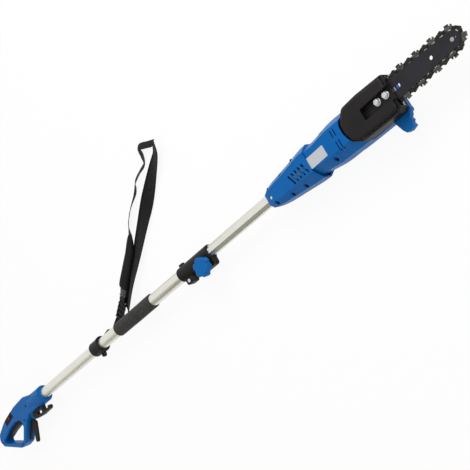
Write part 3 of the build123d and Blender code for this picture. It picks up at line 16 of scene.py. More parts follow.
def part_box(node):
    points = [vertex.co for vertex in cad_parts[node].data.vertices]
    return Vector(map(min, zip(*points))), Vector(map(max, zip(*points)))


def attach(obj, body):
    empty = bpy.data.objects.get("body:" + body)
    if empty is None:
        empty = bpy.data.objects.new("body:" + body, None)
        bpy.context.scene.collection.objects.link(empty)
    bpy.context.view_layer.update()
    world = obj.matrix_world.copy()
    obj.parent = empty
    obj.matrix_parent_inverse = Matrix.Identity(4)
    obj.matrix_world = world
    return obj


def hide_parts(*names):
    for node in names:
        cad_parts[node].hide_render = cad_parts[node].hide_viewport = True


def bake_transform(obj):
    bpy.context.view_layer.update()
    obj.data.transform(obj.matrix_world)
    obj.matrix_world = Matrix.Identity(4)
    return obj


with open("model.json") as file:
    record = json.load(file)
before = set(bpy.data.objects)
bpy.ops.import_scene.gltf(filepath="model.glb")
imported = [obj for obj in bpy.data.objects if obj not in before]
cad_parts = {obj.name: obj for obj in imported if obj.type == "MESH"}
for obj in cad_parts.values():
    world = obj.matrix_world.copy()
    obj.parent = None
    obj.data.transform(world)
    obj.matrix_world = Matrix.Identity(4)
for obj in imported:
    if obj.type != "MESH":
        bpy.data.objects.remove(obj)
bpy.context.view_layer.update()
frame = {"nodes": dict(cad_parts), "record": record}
nodes = frame["nodes"]
scene = bpy.context.scene
MM = 0.001

# %% [markdown]
# The photograph looks down at the pole from the saw's right side, with the bar near the camera. Three angles
# give the stance: how steeply the pole runs across the picture, how far it leans towards the camera, and how
# far it is turned about its own length. The camera's axes follow from them. Turning a camera by hand until it
# looks right would also do, but named angles can be changed one at a time.

# %% Camera
PICTURE = 470
FOCAL = 850
SENSOR = 36.0
SLOPE = radians(40.33)
LEAN = radians(38.56)
TURN = radians(18.0)
DISTANCE = 1.932
AIM = Vector((-0.255, 0, 0.042))
AIM_PIXEL = (233.3, 231.9)

right, up, back = Matrix.Identity(3)
along_picture = right * cos(SLOPE) + up * sin(SLOPE)
across_picture = up * cos(SLOPE) - right * sin(SLOPE)
facing = back * cos(LEAN) - along_picture * sin(LEAN)
stance = Matrix((along_picture * cos(LEAN) + back * sin(LEAN),
                 across_picture * cos(TURN) - facing * sin(TURN),
                 across_picture * sin(TURN) + facing * cos(TURN)))
aside = (AIM_PIXEL[0] - PICTURE / 2) / FOCAL * DISTANCE
below = (AIM_PIXEL[1] - PICTURE / 2) / FOCAL * DISTANCE
camera = bpy.data.objects.new("camera", bpy.data.cameras.new("camera"))
camera.data.sensor_width = SENSOR
camera.data.lens = FOCAL / PICTURE * SENSOR
camera.matrix_world = Matrix.Translation(AIM - stance @ Vector((aside, -below, -DISTANCE))) @ stance.to_4x4()
scene.collection.objects.link(camera)
scene.camera = camera
print("camera at", [round(v, 3) for v in camera.matrix_world.translation])
print("lens", round(camera.data.lens, 1), "mm")

# %% [markdown]
# Every finish below is a small tree of nodes, and so is every pattern of repeated pieces. One function adds a
# node with its settings, and another gives each input of a node a value or a link from another node.

# %% Nodes and colours
HOUSING_BLUE = "#005BA2"


def feed(tree, node, inputs):
    for name, value in inputs.items():
        if isinstance(value, bpy.types.NodeSocket):
            tree.links.new(value, node.inputs[name])
        else:
            node.inputs[name].default_value = value


def add(tree, kind, inputs=None, **settings):
    node = tree.nodes.new(kind)
    for name, value in settings.items():
        setattr(node, name, value)
    feed(tree, node, inputs or {})
    return node


def linear(hexadecimal):
    """Colour as a shader wants it, from an sRGB hex value."""
    parts = [int(hexadecimal[i:i + 2], 16) / 255 for i in (1, 3, 5)]
    return tuple(c / 12.92 if c <= 0.04045 else ((c + 0.055) / 1.055) ** 2.4 for c in parts) + (1.0,)


def per(size_mm):
    """Scale of a noise whose grains are this far apart."""
    return 1 / (size_mm * MM)


def new_material(name):
    material = bpy.data.materials.new(name)
    material.use_nodes = True
    tree = material.node_tree
    return material, tree, tree.nodes["Principled BSDF"]


print("blue of the housing in linear light:", [round(c, 3) for c in linear(HOUSING_BLUE)])

# %% [markdown]
# A product photograph on white has soft light from all round and one broad lamp, here from the upper left,
# with a weaker one opposite. The world lights the saw at a plain grey level and looks white only to the
# camera and in reflections. The floor is pale paper: the camera sees it mostly as white, and its own shading
# keeps the shadow. Bright metal would mirror white all round, so two felt cards below give it darker sides.

# %% Floor, world and lamps
scene.view_settings.view_transform = "Standard"
FLOOR_HALF = 30.0
WORLD_LEVEL = 0.68
FLOOR_WHITE = 0.92


def seen_ray(tree):
    """1 for rays from the camera, and for what it sees in metal and glass."""
    path = add(tree, "ShaderNodeLightPath").outputs
    seen = path["Is Camera Ray"]
    for kind in ("Is Glossy Ray", "Is Transmission Ray"):
        seen = add(tree, "ShaderNodeMath", {0: seen, 1: path[kind]}, operation="MAXIMUM").outputs[0]
    return seen


def square(name, half, material, place=Matrix()):
    """Flat square of the setting, in its place's own XY plane."""
    mesh = bpy.data.meshes.new(name)
    corners = [place @ Vector((x * half, y * half, 0)) for x, y in ((-1, -1), (1, -1), (1, 1), (-1, 1))]
    mesh.from_pydata(corners, [], [(0, 1, 2, 3)])
    mesh.materials.append(material)
    card = bpy.data.objects.new(name, mesh)
    scene.collection.objects.link(card)
    return card


def aimed(place, axis):
    """Matrix that turns this axis to the aim. The place counts right, up and towards the camera from it."""
    spot = AIM + stance @ Vector(place)
    return Matrix.Translation(spot) @ (AIM - spot).to_track_quat(axis, "Y").to_matrix().to_4x4()


def lamp(name, place, size, watts):
    """Square soft box."""
    light = bpy.data.lights.new(name, "AREA")
    light.size = size
    light.energy = watts
    box = bpy.data.objects.new(name, light)
    box.matrix_world = aimed(place, "-Z")
    scene.collection.objects.link(box)
    print(name, "at", [round(v, 2) for v in box.matrix_world.translation])


def flag(name, place, size, colour):
    """Felt card that only shows in mirrored light."""
    felt, tree, shader = new_material(name + "_felt")
    feed(tree, shader, {"Base Color": linear(colour), "Roughness": 1.0})
    card = square(name, size / 2, felt, aimed(place, "Z"))
    for ray in ("camera", "diffuse", "shadow"):
        setattr(card, "visible_" + ray, False)


world = bpy.data.worlds.new("soft_studio")
world.use_nodes = True
scene.world = world
sky = world.node_tree
level = add(sky, "ShaderNodeMapRange", {"Value": seen_ray(sky), "To Min": WORLD_LEVEL, "To Max": 1.0})
feed(sky, sky.nodes["Background"], {"Strength": level.outputs[0], "Color": (1, 1, 1, 1)})

paper, tree, shader = new_material("pale_paper")
feed(tree, shader, {"Base Color": linear("#F2F2F0"), "Roughness": 0.9})
glow = add(tree, "ShaderNodeEmission", {"Color": (1, 1, 1, 1)})
share = add(tree, "ShaderNodeMath", {0: seen_ray(tree), 1: FLOOR_WHITE}, operation="MULTIPLY")
mixed = add(tree, "ShaderNodeMixShader", {0: share.outputs[0], 1: shader.outputs[0], 2: glow.outputs[0]})
feed(tree, tree.nodes["Material Output"], {"Surface": mixed.outputs[0]})
square("floor", FLOOR_HALF, paper)

flag("lower_flag", (-0.1, -1.1, 0.3), 1.5, "#A6A69C")
flag("rear_flag", (-0.55, -1.45, -0.15), 1.5, "#D2D1C6")
lamp("key_lamp", (-1.3, 1.5, 1.5), 1.4, 32)
lamp("fill_lamp", (1.8, 0.9, 1.2), 1.8, 14)

# %% [markdown]
# Moulded plastics share one way of being made: the mould's steel is spark-eroded, which leaves a fine grain,
# and handling polishes and pales the edges. So one function makes them, from a colour, a roughness and a
# grain. The edge is found with the Bevel node, which also takes the knife edge off the CAD corners, as a real
# mould does. A modelled bevel on every edge would do the same with many more faces. Metals wear likewise, so
# that part is a function of its own.

# %% Moulded plastics
EDGE_STARTS = 0.99
EDGE_FULL = 0.8
NOISE_LOW = 0.3
NOISE_HIGH = 0.7
CLOUD_MM = 70
CLOUD_SHARE = 0.22


def worn_surface(tree, shader, shades, tone, marks, roughness, depth_mm, edge_mm, spread, strength, wear):
    """Colour by the tone between two shades, roughness and relief by the marks, edges soft and paler."""
    colour, pale = [linear(shade) for shade in shades]
    edge = add(tree, "ShaderNodeBevel", {"Radius": edge_mm * MM}, samples=6).outputs["Normal"]
    flat = add(tree, "ShaderNodeNewGeometry").outputs["Normal"]
    turned = add(tree, "ShaderNodeVectorMath", {0: edge, 1: flat}, operation="DOT_PRODUCT")
    worn = add(tree, "ShaderNodeMapRange", {
        "Value": turned.outputs["Value"], "From Min": EDGE_STARTS, "From Max": EDGE_FULL, "To Max": wear})
    body = add(tree, "ShaderNodeMix", {"Factor": tone, "A": colour, "B": pale}, data_type="RGBA")
    edged = add(tree, "ShaderNodeMix", {
        "Factor": worn.outputs[0], "A": body.outputs["Result"], "B": pale}, data_type="RGBA")
    rough = add(tree, "ShaderNodeMapRange", {
        "Value": marks, "From Min": NOISE_LOW, "From Max": NOISE_HIGH,
        "To Min": roughness - spread, "To Max": roughness + spread})
    bump = add(tree, "ShaderNodeBump", {
        "Strength": strength, "Distance": depth_mm * MM, "Height": marks, "Normal": edge})
    feed(tree, shader, {
        "Base Color": edged.outputs["Result"], "Roughness": rough.outputs[0], "Normal": bump.outputs[0]})


def moulded(name, colour, pale, roughness, grain_mm, depth_mm, shine=0.15, edge_mm=0.6):
    """Grained plastic with faint clouds in its colour. shine is its specular level."""
    material, tree, shader = new_material(name)
    place = add(tree, "ShaderNodeTexCoord").outputs["Object"]
    cloud = add(tree, "ShaderNodeTexNoise", {"Vector": place, "Scale": per(CLOUD_MM), "Detail": 3.0})
    grain = add(tree, "ShaderNodeTexNoise", {"Vector": place, "Scale": per(grain_mm), "Detail": 2.0})
    tone = add(tree, "ShaderNodeMapRange", {
        "Value": cloud.outputs["Fac"], "From Min": NOISE_LOW, "From Max": NOISE_HIGH, "To Max": CLOUD_SHARE})
    worn_surface(tree, shader, (colour, pale), tone.outputs[0], grain.outputs["Fac"], roughness, depth_mm,
                 edge_mm, spread=0.06, strength=0.6, wear=0.7)
    feed(tree, shader, {"Specular IOR Level": shine})
    return material


finishes = {
    # Satin blue ABS, as spark-eroded housings have: a broad soft highlight
    "blue_abs": moulded("moulded_blue_abs", HOUSING_BLUE, "#1A72B8", 0.38, 0.9, 0.06, shine=0.12),
    # The lock button is polished a little by the thumb
    "red_abs": moulded("moulded_red_abs", "#6A1512", "#8E2A22", 0.35, 0.9, 0.05),
    # Glass fibre in the nylon gives a coarser, greyer surface
    "black_nylon": moulded("glass_filled_black_nylon", "#191717", "#34312F", 0.44, 0.8, 0.08),
    # Soft rubber scatters light and keeps dust
    "soft_grip": moulded("soft_black_rubber", "#171717", "#2B2B2A", 0.7, 0.7, 0.1),
    # Buckles are acetal, which feels waxy and shines softly
    "buckle_plastic": moulded("moulded_grey_acetal", "#454544", "#5E5E5C", 0.4, 0.7, 0.05),
    "black_acetal": moulded("moulded_black_acetal", "#161616", "#2A2A29", 0.4, 0.7, 0.05),
    # Blown polyethylene, milky and smooth
    "tank_plastic": moulded("blown_polyethylene", "#D9D8CC", "#F0EFE6", 0.3, 3.0, 0.05),
    # A bare film of silver-grey polyester
    "label_film": moulded("bare_polyester_film", "#B9BCC0", "#D8DADC", 0.32, 1.2, 0.02, edge_mm=0.2),
    # The coiled lead inside the pole is sheathed in soft PVC
    "lead_rubber": moulded("extruded_black_pvc", "#141414", "#262626", 0.5, 1.0, 0.04),
}
print("plastics and rubbers:", sorted(finishes))

# %% [markdown]
# Metals differ in how they were worked. A drawn tube has fine lines along its length, turned and ground steel
# has short ones, and a casting has grains. One function draws the marks with a noise that is stretched along
# the working direction, and both the roughness and the relief follow it.

# %% Metals
METAL_CLOUD_MM = 25
METAL_EDGE_MM = 0.25


def metal(name, colour, pale, roughness, mark_mm, depth_mm, metallic=1.0, shine=0.5):
    """Worked metal, bare or painted. mark_mm is the size of its marks along X, Y and Z."""
    material, tree, shader = new_material(name)
    place = add(tree, "ShaderNodeTexCoord").outputs["Object"]
    stretched = add(tree, "ShaderNodeMapping", {"Vector": place, "Scale": [per(size) for size in mark_mm]})
    marks = add(tree, "ShaderNodeTexNoise", {"Vector": stretched.outputs[0], "Scale": 1.0, "Detail": 3.0})
    cloud = add(tree, "ShaderNodeTexNoise", {"Vector": place, "Scale": per(METAL_CLOUD_MM), "Detail": 4.0})
    worn_surface(tree, shader, (colour, pale), cloud.outputs["Fac"], marks.outputs["Fac"], roughness,
                 depth_mm, METAL_EDGE_MM, spread=0.08, strength=0.5, wear=1.0)
    feed(tree, shader, {"Metallic": metallic, "Specular IOR Level": shine})
    return material


finishes.update({
    # Drawn and satin-anodised tube: bright, with lines along the pole
    "tube_aluminium": metal("drawn_satin_aluminium", "#DAD9D0", "#E6E4DB", 0.3, (300, 2.5, 2.5), 0.0004),
    # Black enamel on spring steel, rubbed thin at the edges
    "bar_paint": metal("black_enamel_on_spring_steel", "#1C1B1F", "#2E2D32", 0.4, (14, 1.2, 1.2), 0.02,
                       metallic=0.0, shine=0.15),
    # Ties and drive links are blued by hardening and wet with oil
    "chain_steel": metal("oiled_blued_chain_steel", "#1E1C1A", "#3E3B37", 0.34, (2, 2, 2), 0.03),
    # Cutters are hard-chromed and ground, so they flash
    "cutter_chrome": metal("ground_chromed_steel", "#2C2A27", "#67655F", 0.28, (1.5, 1.5, 3), 0.02),
    "gear_steel": metal("hobbed_gear_steel", "#7C7C7A", "#A9A9A6", 0.35, (1.5, 1.5, 6), 0.02),
    "zinc_steel": metal("bright_zinc_plated_steel", "#B9BABC", "#DCDDDE", 0.26, (2, 2, 2), 0.02),
    "dark_steel": metal("black_oxide_steel", "#2C2C2C", "#565654", 0.4, (2, 2, 2), 0.02),
    "cast_aluminium": metal("die_cast_aluminium", "#8F9090", "#ABACAC", 0.48, (1.2, 1.2, 1.2), 0.06),
    "brass": metal("rolled_brass", "#B58B45", "#D9B46C", 0.32, (6, 1, 1), 0.02),
})
print("finishes so far:", len(finishes))

# %% [markdown]
# Webbing is woven: each thread passes over and under its neighbours. The pattern lies in the strap's own UV
# map, which is in metres across and along the strap, so it bends with it. Real threads are about 0.8 mm
# apart, too fine for this picture, so they are drawn at 2 mm or more. The sheen is what loose fibres give.

# %% Woven cloth and foam
# At a scale of 1 the Wave node repeats after this length
WAVE_PERIOD = 2 * pi / 20
FADE_MM = 30
# Cells of about 1.6 mm are drawn at 2.2 mm, to show in the picture
FOAM_CELL_MM = 2.2
DUST_MM = 12


def woven(name, colour, pale, thread_mm, relief_mm, sheen):
    """Plain weave on the piece's UV map, with painted shade in the weave's low places."""
    material, tree, shader = new_material(name)
    place = add(tree, "ShaderNodeTexCoord").outputs["UV"]
    wave = {"Vector": place, "Scale": WAVE_PERIOD * per(thread_mm), "Distortion": 0.4}
    warp = add(tree, "ShaderNodeTexWave", wave, bands_direction="X").outputs["Fac"]
    weft = add(tree, "ShaderNodeTexWave", wave, bands_direction="Y").outputs["Fac"]
    over = add(tree, "ShaderNodeTexChecker", {"Vector": place, "Scale": per(thread_mm)}).outputs["Fac"]
    cloth = add(tree, "ShaderNodeMix", {"Factor": over, "A": warp, "B": weft}).outputs["Result"]
    fade = add(tree, "ShaderNodeTexNoise", {"Vector": place, "Scale": per(FADE_MM), "Detail": 4.0})
    # Painted shade: the colour follows the weave's height, so it is darker between the threads, times a real
    # random fade of the cloth
    shade = add(tree, "ShaderNodeMath", {0: cloth, 1: fade.outputs["Fac"]}, operation="MULTIPLY")
    body = add(tree, "ShaderNodeMix", {
        "Factor": shade.outputs[0], "A": linear(colour), "B": linear(pale)}, data_type="RGBA")
    bump = add(tree, "ShaderNodeBump", {"Strength": 0.8, "Distance": relief_mm * MM, "Height": cloth})
    feed(tree, shader, {
        "Base Color": body.outputs["Result"], "Roughness": 0.78, "Specular IOR Level": 0.15,
        "Sheen Weight": sheen, "Sheen Roughness": 0.4, "Normal": bump.outputs[0]})
    return material


finishes["webbing"] = woven("woven_black_polypropylene", "#0E0D0D", "#211F1E", 2.0, 0.25, 0.05)
finishes["pad_cloth"] = woven("woven_black_nylon_over_foam", "#100F0F", "#252322", 2.4, 0.3, 0.06)
finishes["thread"] = moulded("spun_black_thread", "#2A2926", "#45433F", 0.7, 0.4, 0.05)

finishes["foam"], tree, shader = new_material("closed_cell_foam")
place = add(tree, "ShaderNodeTexCoord").outputs["Object"]
cells = add(tree, "ShaderNodeTexVoronoi", {"Vector": place, "Scale": per(FOAM_CELL_MM)}).outputs["Distance"]
dust = add(tree, "ShaderNodeTexNoise", {"Vector": place, "Scale": per(DUST_MM), "Detail": 5.0}).outputs["Fac"]
tint = add(tree, "ShaderNodeMix", {
    "Factor": dust, "A": linear("#262625"), "B": linear("#484744")}, data_type="RGBA")
pits = add(tree, "ShaderNodeBump", {"Strength": 0.7, "Distance": 0.4 * MM, "Height": cells})
feed(tree, shader, {
    "Base Color": tint.outputs["Result"], "Roughness": 0.85, "Specular IOR Level": 0.15,
    "Sheen Weight": 0.05, "Normal": pits.outputs[0]})
print("finishes in all:", len(finishes))

# %% [markdown]
# The record that comes with the CAD names a finish for every solid, so one loop dresses the hard pieces.

# %% Dress the solids
for row in frame["record"]["subparts"]:
    solid = nodes[row["node"]]
    for slot in solid.material_slots:
        slot.material = finishes[row["material_slot"]]
# The nose rivet is ground flush and dull, and the screw at the tube is bright
for node, finish in (("nose_rivet", "gear_steel"), ("tube_screw", "zinc_steel")):
    nodes[node].material_slots[0].material = finishes[finish]

# %% [markdown]
# Pieces that are made here start as rings of points that get a skin: two rings for a flat outline with a
# thickness, as stampings and mouldings have, and several on one axis for a turned piece. A Bevel modifier
# breaks sharp edges, and what the modifiers give becomes a plain mesh. Most pieces take the place of a CAD
# solid and ride the solid's body.

# %% Plates, rings and finished pieces
SMOOTH_DEG = 35


def skin(bm, rings, closed=False):
    """Faces from each ring to the next, and over both ends, or from the last ring to the first one."""
    faces = []
    for a, b in zip(rings, rings[1:] + rings[:1] if closed else rings[1:]):
        for k in range(len(a)):
            n = (k + 1) % len(a)
            faces.append(bm.faces.new((a[k], a[n], b[n], b[k])))
    if not closed:
        bm.faces.new(rings[0][::-1])
        bm.faces.new(rings[-1])
    return faces


def plate(bm, outline, low, high):
    """Outline in the XY plane, counted anticlockwise, between two heights. Sizes in mm."""
    skin(bm, [[bm.verts.new((x * MM, y * MM, z * MM)) for x, y in outline] for z in (low, high)])


def round_angles(sides):
    return [2 * pi * k / sides for k in range(sides)]


def turned_piece(bm, profile, sides, x=0.0):
    """Rings of (radius, height) on an upright axis, closed at both ends. Sizes in mm."""
    skin(bm, [[bm.verts.new(((x + radius * cos(a)) * MM, radius * sin(a) * MM, height * MM))
               for a in round_angles(sides)] for radius, height in profile])


def oblong(x0, x1, y0, y1):
    return [(x0, y0), (x1, y0), (x1, y1), (x0, y1)]


def lobe(x, radius, start_deg, end_deg, steps=5):
    """Points of an arc about a rivet."""
    angles = [radians(start_deg + (end_deg - start_deg) * k / steps) for k in range(steps + 1)]
    return [(x + radius * cos(a), radius * sin(a)) for a in angles]


def smooth(mesh, limit_deg):
    mesh.shade_smooth()
    mesh.set_sharp_from_angle(angle=radians(limit_deg))


def as_object(name, bm, finish):
    mesh = bpy.data.meshes.new(name)
    bm.normal_update()
    bm.to_mesh(mesh)
    bm.free()
    mesh.materials.append(finishes[finish])
    piece = bpy.data.objects.new(name, mesh)
    scene.collection.objects.link(piece)
    return piece


def covered(name, rows, finish, closed=False):
    """Object with a skin over rows of points in mm."""
    bm = bmesh.new()
    skin(bm, [[bm.verts.new(spot * MM) for spot in row] for row in rows], closed)
    bmesh.ops.recalc_face_normals(bm, faces=bm.faces)
    return as_object(name, bm, finish)


def settle(piece, limit_deg):
    """Make what the modifiers give the piece's own mesh, and drop them."""
    graph = bpy.context.evaluated_depsgraph_get()
    mesh = bpy.data.meshes.new_from_object(piece.evaluated_get(graph), depsgraph=graph)
    piece.modifiers.clear()
    mesh.name = piece.name
    piece.data = mesh
    smooth(mesh, limit_deg)
    return piece


def soften(piece, width_mm, segments=2):
    bevel = piece.modifiers.new("broken_edges", "BEVEL")
    bevel.width = width_mm * MM
    bevel.segments = segments
    bevel.limit_method = "ANGLE"
    return settle(piece, SMOOTH_DEG)


def stand_in(piece, body, node):
    """Let the piece ride a body, in place of a CAD node."""
    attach(piece, body)
    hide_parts(node)
    print(piece.name, "stands for", node, "with", len(piece.data.polygons), "faces")


print("half a circle is drawn with", len(lobe(0, 1, -90, 90)), "points")

# %% [markdown]
# Saw chain is three kinds of link on rivets: drive links run in the bar's groove, tie links join them, and
# every other tie link is a cutter, with a depth gauge in front of a curled cutting plate, left and right by
# turns. Plain ties carry a low ramp, which lets the wood slide up to the next cutter. The CAD has plain
# links, so each link is stamped here once more, with round ends, waists and rivet heads. The left cutter is
# the right one mirrored, so its faces are turned round.

# %% One link of each kind
PITCH = 9.525
HALF_PITCH = PITCH / 2
DRIVE_THICK = 1.3
DRIVE_LOBE = 3.3
PLATE_IN = DRIVE_THICK / 2 + 0.08
PLATE_OUT = PLATE_IN + 1.4
SIDES = ((PLATE_IN, PLATE_OUT), (-PLATE_OUT, -PLATE_IN))
INSET = 0.05
LINK_LOBE = 3.6
LINK_EDGE = 0.12
TANG = 9.0
CUTTER_TOP = 8.0
CUTTER_INNER = -1.4
CUTTER_OUTER = PLATE_OUT + 1.2
GAUGE_TOP = 6.8
RAMP_TOP = 6.0
RIVET_SHANK = 1.3
RIVET_HEAD = 2.1
RIVET_CROWN = (1.2, PLATE_OUT + 0.45)
RIVET_RIM = 0.1
RIVET_SIDES = 10

WAIST = [(-1.6, -2.7), (1.6, -2.7)]
STRAP = WAIST + lobe(HALF_PITCH, LINK_LOBE, -80, 90) + lobe(-HALF_PITCH, LINK_LOBE, 90, 260)
DRIVE = ([(-1.4, -TANG), (1.2, -TANG + 0.3), (2.6, -6.2), (4.6, -3.5)]
         + lobe(HALF_PITCH, DRIVE_LOBE, -60, 90) + [(1.5, 2.6), (-1.5, 2.6)]
         + lobe(-HALF_PITCH, DRIVE_LOBE, 90, 250) + [(-4.4, -4.6), (-3.2, -TANG + 0.9)])
GAUGE = [(2.6, 2.0), (7.2, 0.6), (7.4, 3.0), (6.6, GAUGE_TOP - 0.6), (5.4, GAUGE_TOP), (3.9, GAUGE_TOP - 0.5)]
HEEL = [(-7.6, 0.6), (1.6, 2.6), (0.9, 5.2), (0.6, CUTTER_TOP - 0.3), (-8.0, CUTTER_TOP - 1.3)]
RAMP = [(-4.4, 2.4), (4.4, 2.4), (4.0, RAMP_TOP - 0.6), (2.6, RAMP_TOP), (-1.6, RAMP_TOP - 1.2)]
EDGE = [(-8.1, CUTTER_TOP - 2.2), (0.5, CUTTER_TOP - 1.2), (0.9, CUTTER_TOP), (-8.1, CUTTER_TOP - 1.0)]


def drive_link(bm):
    plate(bm, DRIVE, -DRIVE_THICK / 2, DRIVE_THICK / 2)


def side_plates(bm):
    """Both plates with their two rivets, which have domed heads at both ends."""
    for low, high in SIDES:
        plate(bm, STRAP, low, high)
    half = [(RIVET_SHANK, PLATE_OUT - RIVET_RIM), (RIVET_HEAD, PLATE_OUT - RIVET_RIM),
            (RIVET_HEAD, PLATE_OUT + RIVET_RIM), RIVET_CROWN]
    for x in (-HALF_PITCH, HALF_PITCH):
        turned_piece(bm, [(radius, -height) for radius, height in half[::-1]] + half, RIVET_SIDES, x)


def tie_link(bm):
    side_plates(bm)
    for low, high in SIDES:
        plate(bm, RAMP, low + INSET, high - INSET)


def cutter_link(bm):
    side_plates(bm)
    for outline in (GAUGE, HEEL):
        plate(bm, outline, PLATE_IN, PLATE_OUT - INSET)
    plate(bm, EDGE, CUTTER_INNER, CUTTER_OUTER)


def link_shape(name, draw, finish, flip=False):
    bm = bmesh.new()
    draw(bm)
    if flip:
        bmesh.ops.scale(bm, vec=(1, 1, -1), verts=bm.verts)
        bmesh.ops.reverse_faces(bm, faces=bm.faces)
    shape = soften(as_object(name, bm, finish), LINK_EDGE, 1)
    scene.collection.objects.unlink(shape)
    return shape


links = {
    "chain_drive_links": link_shape("drive_link", drive_link, "chain_steel"),
    "chain_tie_links": link_shape("tie_link", tie_link, "chain_steel"),
    "chain_right_cutters": link_shape("right_cutter", cutter_link, "cutter_chrome"),
    "chain_left_cutters": link_shape("left_cutter", cutter_link, "cutter_chrome", flip=True),
}
print("faces of a link:", {name: len(shape.data.polygons) for name, shape in links.items()})

# %% [markdown]
# The links ride on the rivet line: round the drive sprocket, over the bar's swelling side, round the nose and
# back. Its points are the rivets themselves, one pitch apart, and each edge between two rivets is one link.
# The line is worked out from the same three circles as in the CAD, so the chain sits in the bar's groove.

# %% The rivet line
SPROCKET_X = 175.5
SPROCKET_TEETH = 6
NOSE_TEETH = 7
BELLY_X = 268.0
BELLY_HALF = 21.5
BELLY_RADIUS = 180.0
RIVET_HEIGHT = 3.9
DRIVE_LINKS = 32
BAR_MIDDLE = 64.0
low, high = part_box("nose_wheel")
NOSE_X = (low.x + high.x) / 2 / MM
ROUNDS = [((SPROCKET_X, 0), SPROCKET_TEETH * PITCH / pi),
          ((BELLY_X, BELLY_HALF + RIVET_HEIGHT - BELLY_RADIUS), BELLY_RADIUS),
          ((NOSE_X, 0), NOSE_TEETH * PITCH / pi)]

# Angles at which the upper half starts, leaves one circle for the next, and ends
ANGLES = [pi]
for (a, a_radius), (b, b_radius) in zip(ROUNDS, ROUNDS[1:]):
    span = hypot(b[0] - a[0], b[1] - a[1])
    ANGLES.append(atan2(b[1] - a[1], b[0] - a[0]) + acos((a_radius - b_radius) / span))
ANGLES.append(0)


def on_circle(centre, radius, angle):
    return Vector((centre[0] + radius * cos(angle), centre[1] + radius * sin(angle)))


def rivet_point(length):
    """Point at a length along the line from the back of the sprocket, over the top and back below."""
    half = DRIVE_LINKS * PITCH
    if length > half:
        above = rivet_point(2 * half - length)
        return Vector((above.x, -above.y))
    for i, (centre, radius) in enumerate(ROUNDS):
        arc = radius * (ANGLES[i] - ANGLES[i + 1])
        if length <= arc or i == len(ROUNDS) - 1:
            return on_circle(centre, radius, ANGLES[i] - length / radius)
        leave = on_circle(centre, radius, ANGLES[i + 1])
        meet = on_circle(*ROUNDS[i + 1], ANGLES[i + 1])
        run = (meet - leave).length
        length -= arc
        if length <= run:
            return leave.lerp(meet, length / run)
        length -= run


rivets = [rivet_point((i + 0.5) * PITCH) for i in range(2 * DRIVE_LINKS)]
rivet_line = bpy.data.meshes.new("rivet_line")
rivet_line.from_pydata([(p.x * MM, p.y * MM, BAR_MIDDLE * MM) for p in rivets],
                       [(i, (i + 1) % len(rivets)) for i in range(len(rivets))], [])
print("rivets", len(rivets), "first at", [round(v, 1) for v in rivets[0]], "mm")

# %% [markdown]
# Geometry Nodes lay the links: a point in the middle of each edge, turned along it, with every second, fourth
# or eighth edge chosen by its number. The same tree makes all four kinds of link, with other inputs. The
# screws and the stitches below come from trees that start and end in the same way.

# %% Chain
def node_group(name, sockets):
    """New tree. Its inputs are a mesh, a piece to repeat, its finish and what else is named."""
    group = bpy.data.node_groups.new(name, "GeometryNodeTree")
    shared = {"Geometry": "NodeSocketGeometry", "Piece": "NodeSocketObject", "Finish": "NodeSocketMaterial"}
    for label, kind in {**shared, **sockets}.items():
        group.interface.new_socket(label, in_out="INPUT", socket_type=kind)
    group.interface.new_socket("Geometry", in_out="OUTPUT", socket_type="NodeSocketGeometry")
    return group, add(group, "NodeGroupInput").outputs


def close_group(group, inputs, points, rotation):
    """Put the piece on every point, and make it one plain mesh with its finish."""
    piece = add(group, "GeometryNodeObjectInfo", {"Object": inputs["Piece"]}).outputs["Geometry"]
    placed = add(group, "GeometryNodeInstanceOnPoints",
                 {"Points": points, "Instance": piece, "Rotation": rotation})
    real = add(group, "GeometryNodeRealizeInstances", {"Geometry": placed.outputs[0]}).outputs[0]
    painted = add(group, "GeometryNodeSetMaterial", {"Geometry": real, "Material": inputs["Finish"]})
    add(group, "NodeGroupOutput", {"Geometry": painted.outputs[0]})


def grow(name, mesh, group, piece, values, limit_deg=SMOOTH_DEG):
    """Object that carries the mesh through the tree, with the tree's inputs set, as a plain mesh."""
    pattern = bpy.data.objects.new(name, mesh)
    modifier = pattern.modifiers.new("pattern", "NODES")
    modifier.node_group = group
    values = {"Piece": piece, "Finish": piece.data.materials[0], **values}
    for item in group.interface.items_tree:
        if item.name in values:
            modifier[item.identifier] = values[item.name]
    scene.collection.objects.link(pattern)
    return settle(pattern, limit_deg)


chain_group, inputs = node_group("links_on_rivets", {"Every": "NodeSocketInt", "First": "NodeSocketInt"})
ends = add(chain_group, "GeometryNodeInputMeshEdgeVertices").outputs
run = add(chain_group, "ShaderNodeVectorMath", {0: ends["Position 2"], 1: ends["Position 1"]},
          operation="SUBTRACT")
held = add(chain_group, "GeometryNodeCaptureAttribute", {"Geometry": inputs["Geometry"]}, domain="EDGE")
held.capture_items.new("VECTOR", "run")
chain_group.links.new(run.outputs[0], held.inputs[1])
number = add(chain_group, "GeometryNodeInputIndex").outputs[0]
place = add(chain_group, "ShaderNodeMath", {0: number, 1: inputs["Every"]}, operation="MODULO").outputs[0]
chosen = add(chain_group, "FunctionNodeCompare", {"A": place, "B": inputs["First"]},
             data_type="FLOAT", operation="EQUAL").outputs[0]
middles = add(chain_group, "GeometryNodeMeshToPoints",
              {"Mesh": held.outputs["Geometry"], "Selection": chosen}, mode="EDGES")
turned = add(chain_group, "FunctionNodeAlignRotationToVector", {"Vector": held.outputs["run"]},
             axis="X", pivot_axis="Z")
close_group(chain_group, inputs, middles.outputs[0], turned.outputs[0])

# Each kind of link takes one edge in so many, from this edge on
COUNTS = {"chain_drive_links": (2, 1), "chain_tie_links": (4, 2),
          "chain_left_cutters": (8, 4), "chain_right_cutters": (8, 0)}
for name, (every, first) in COUNTS.items():
    loop = grow("saw_" + name, rivet_line.copy(), chain_group, links[name], {"Every": every, "First": first})
    stand_in(loop, "bar", name)

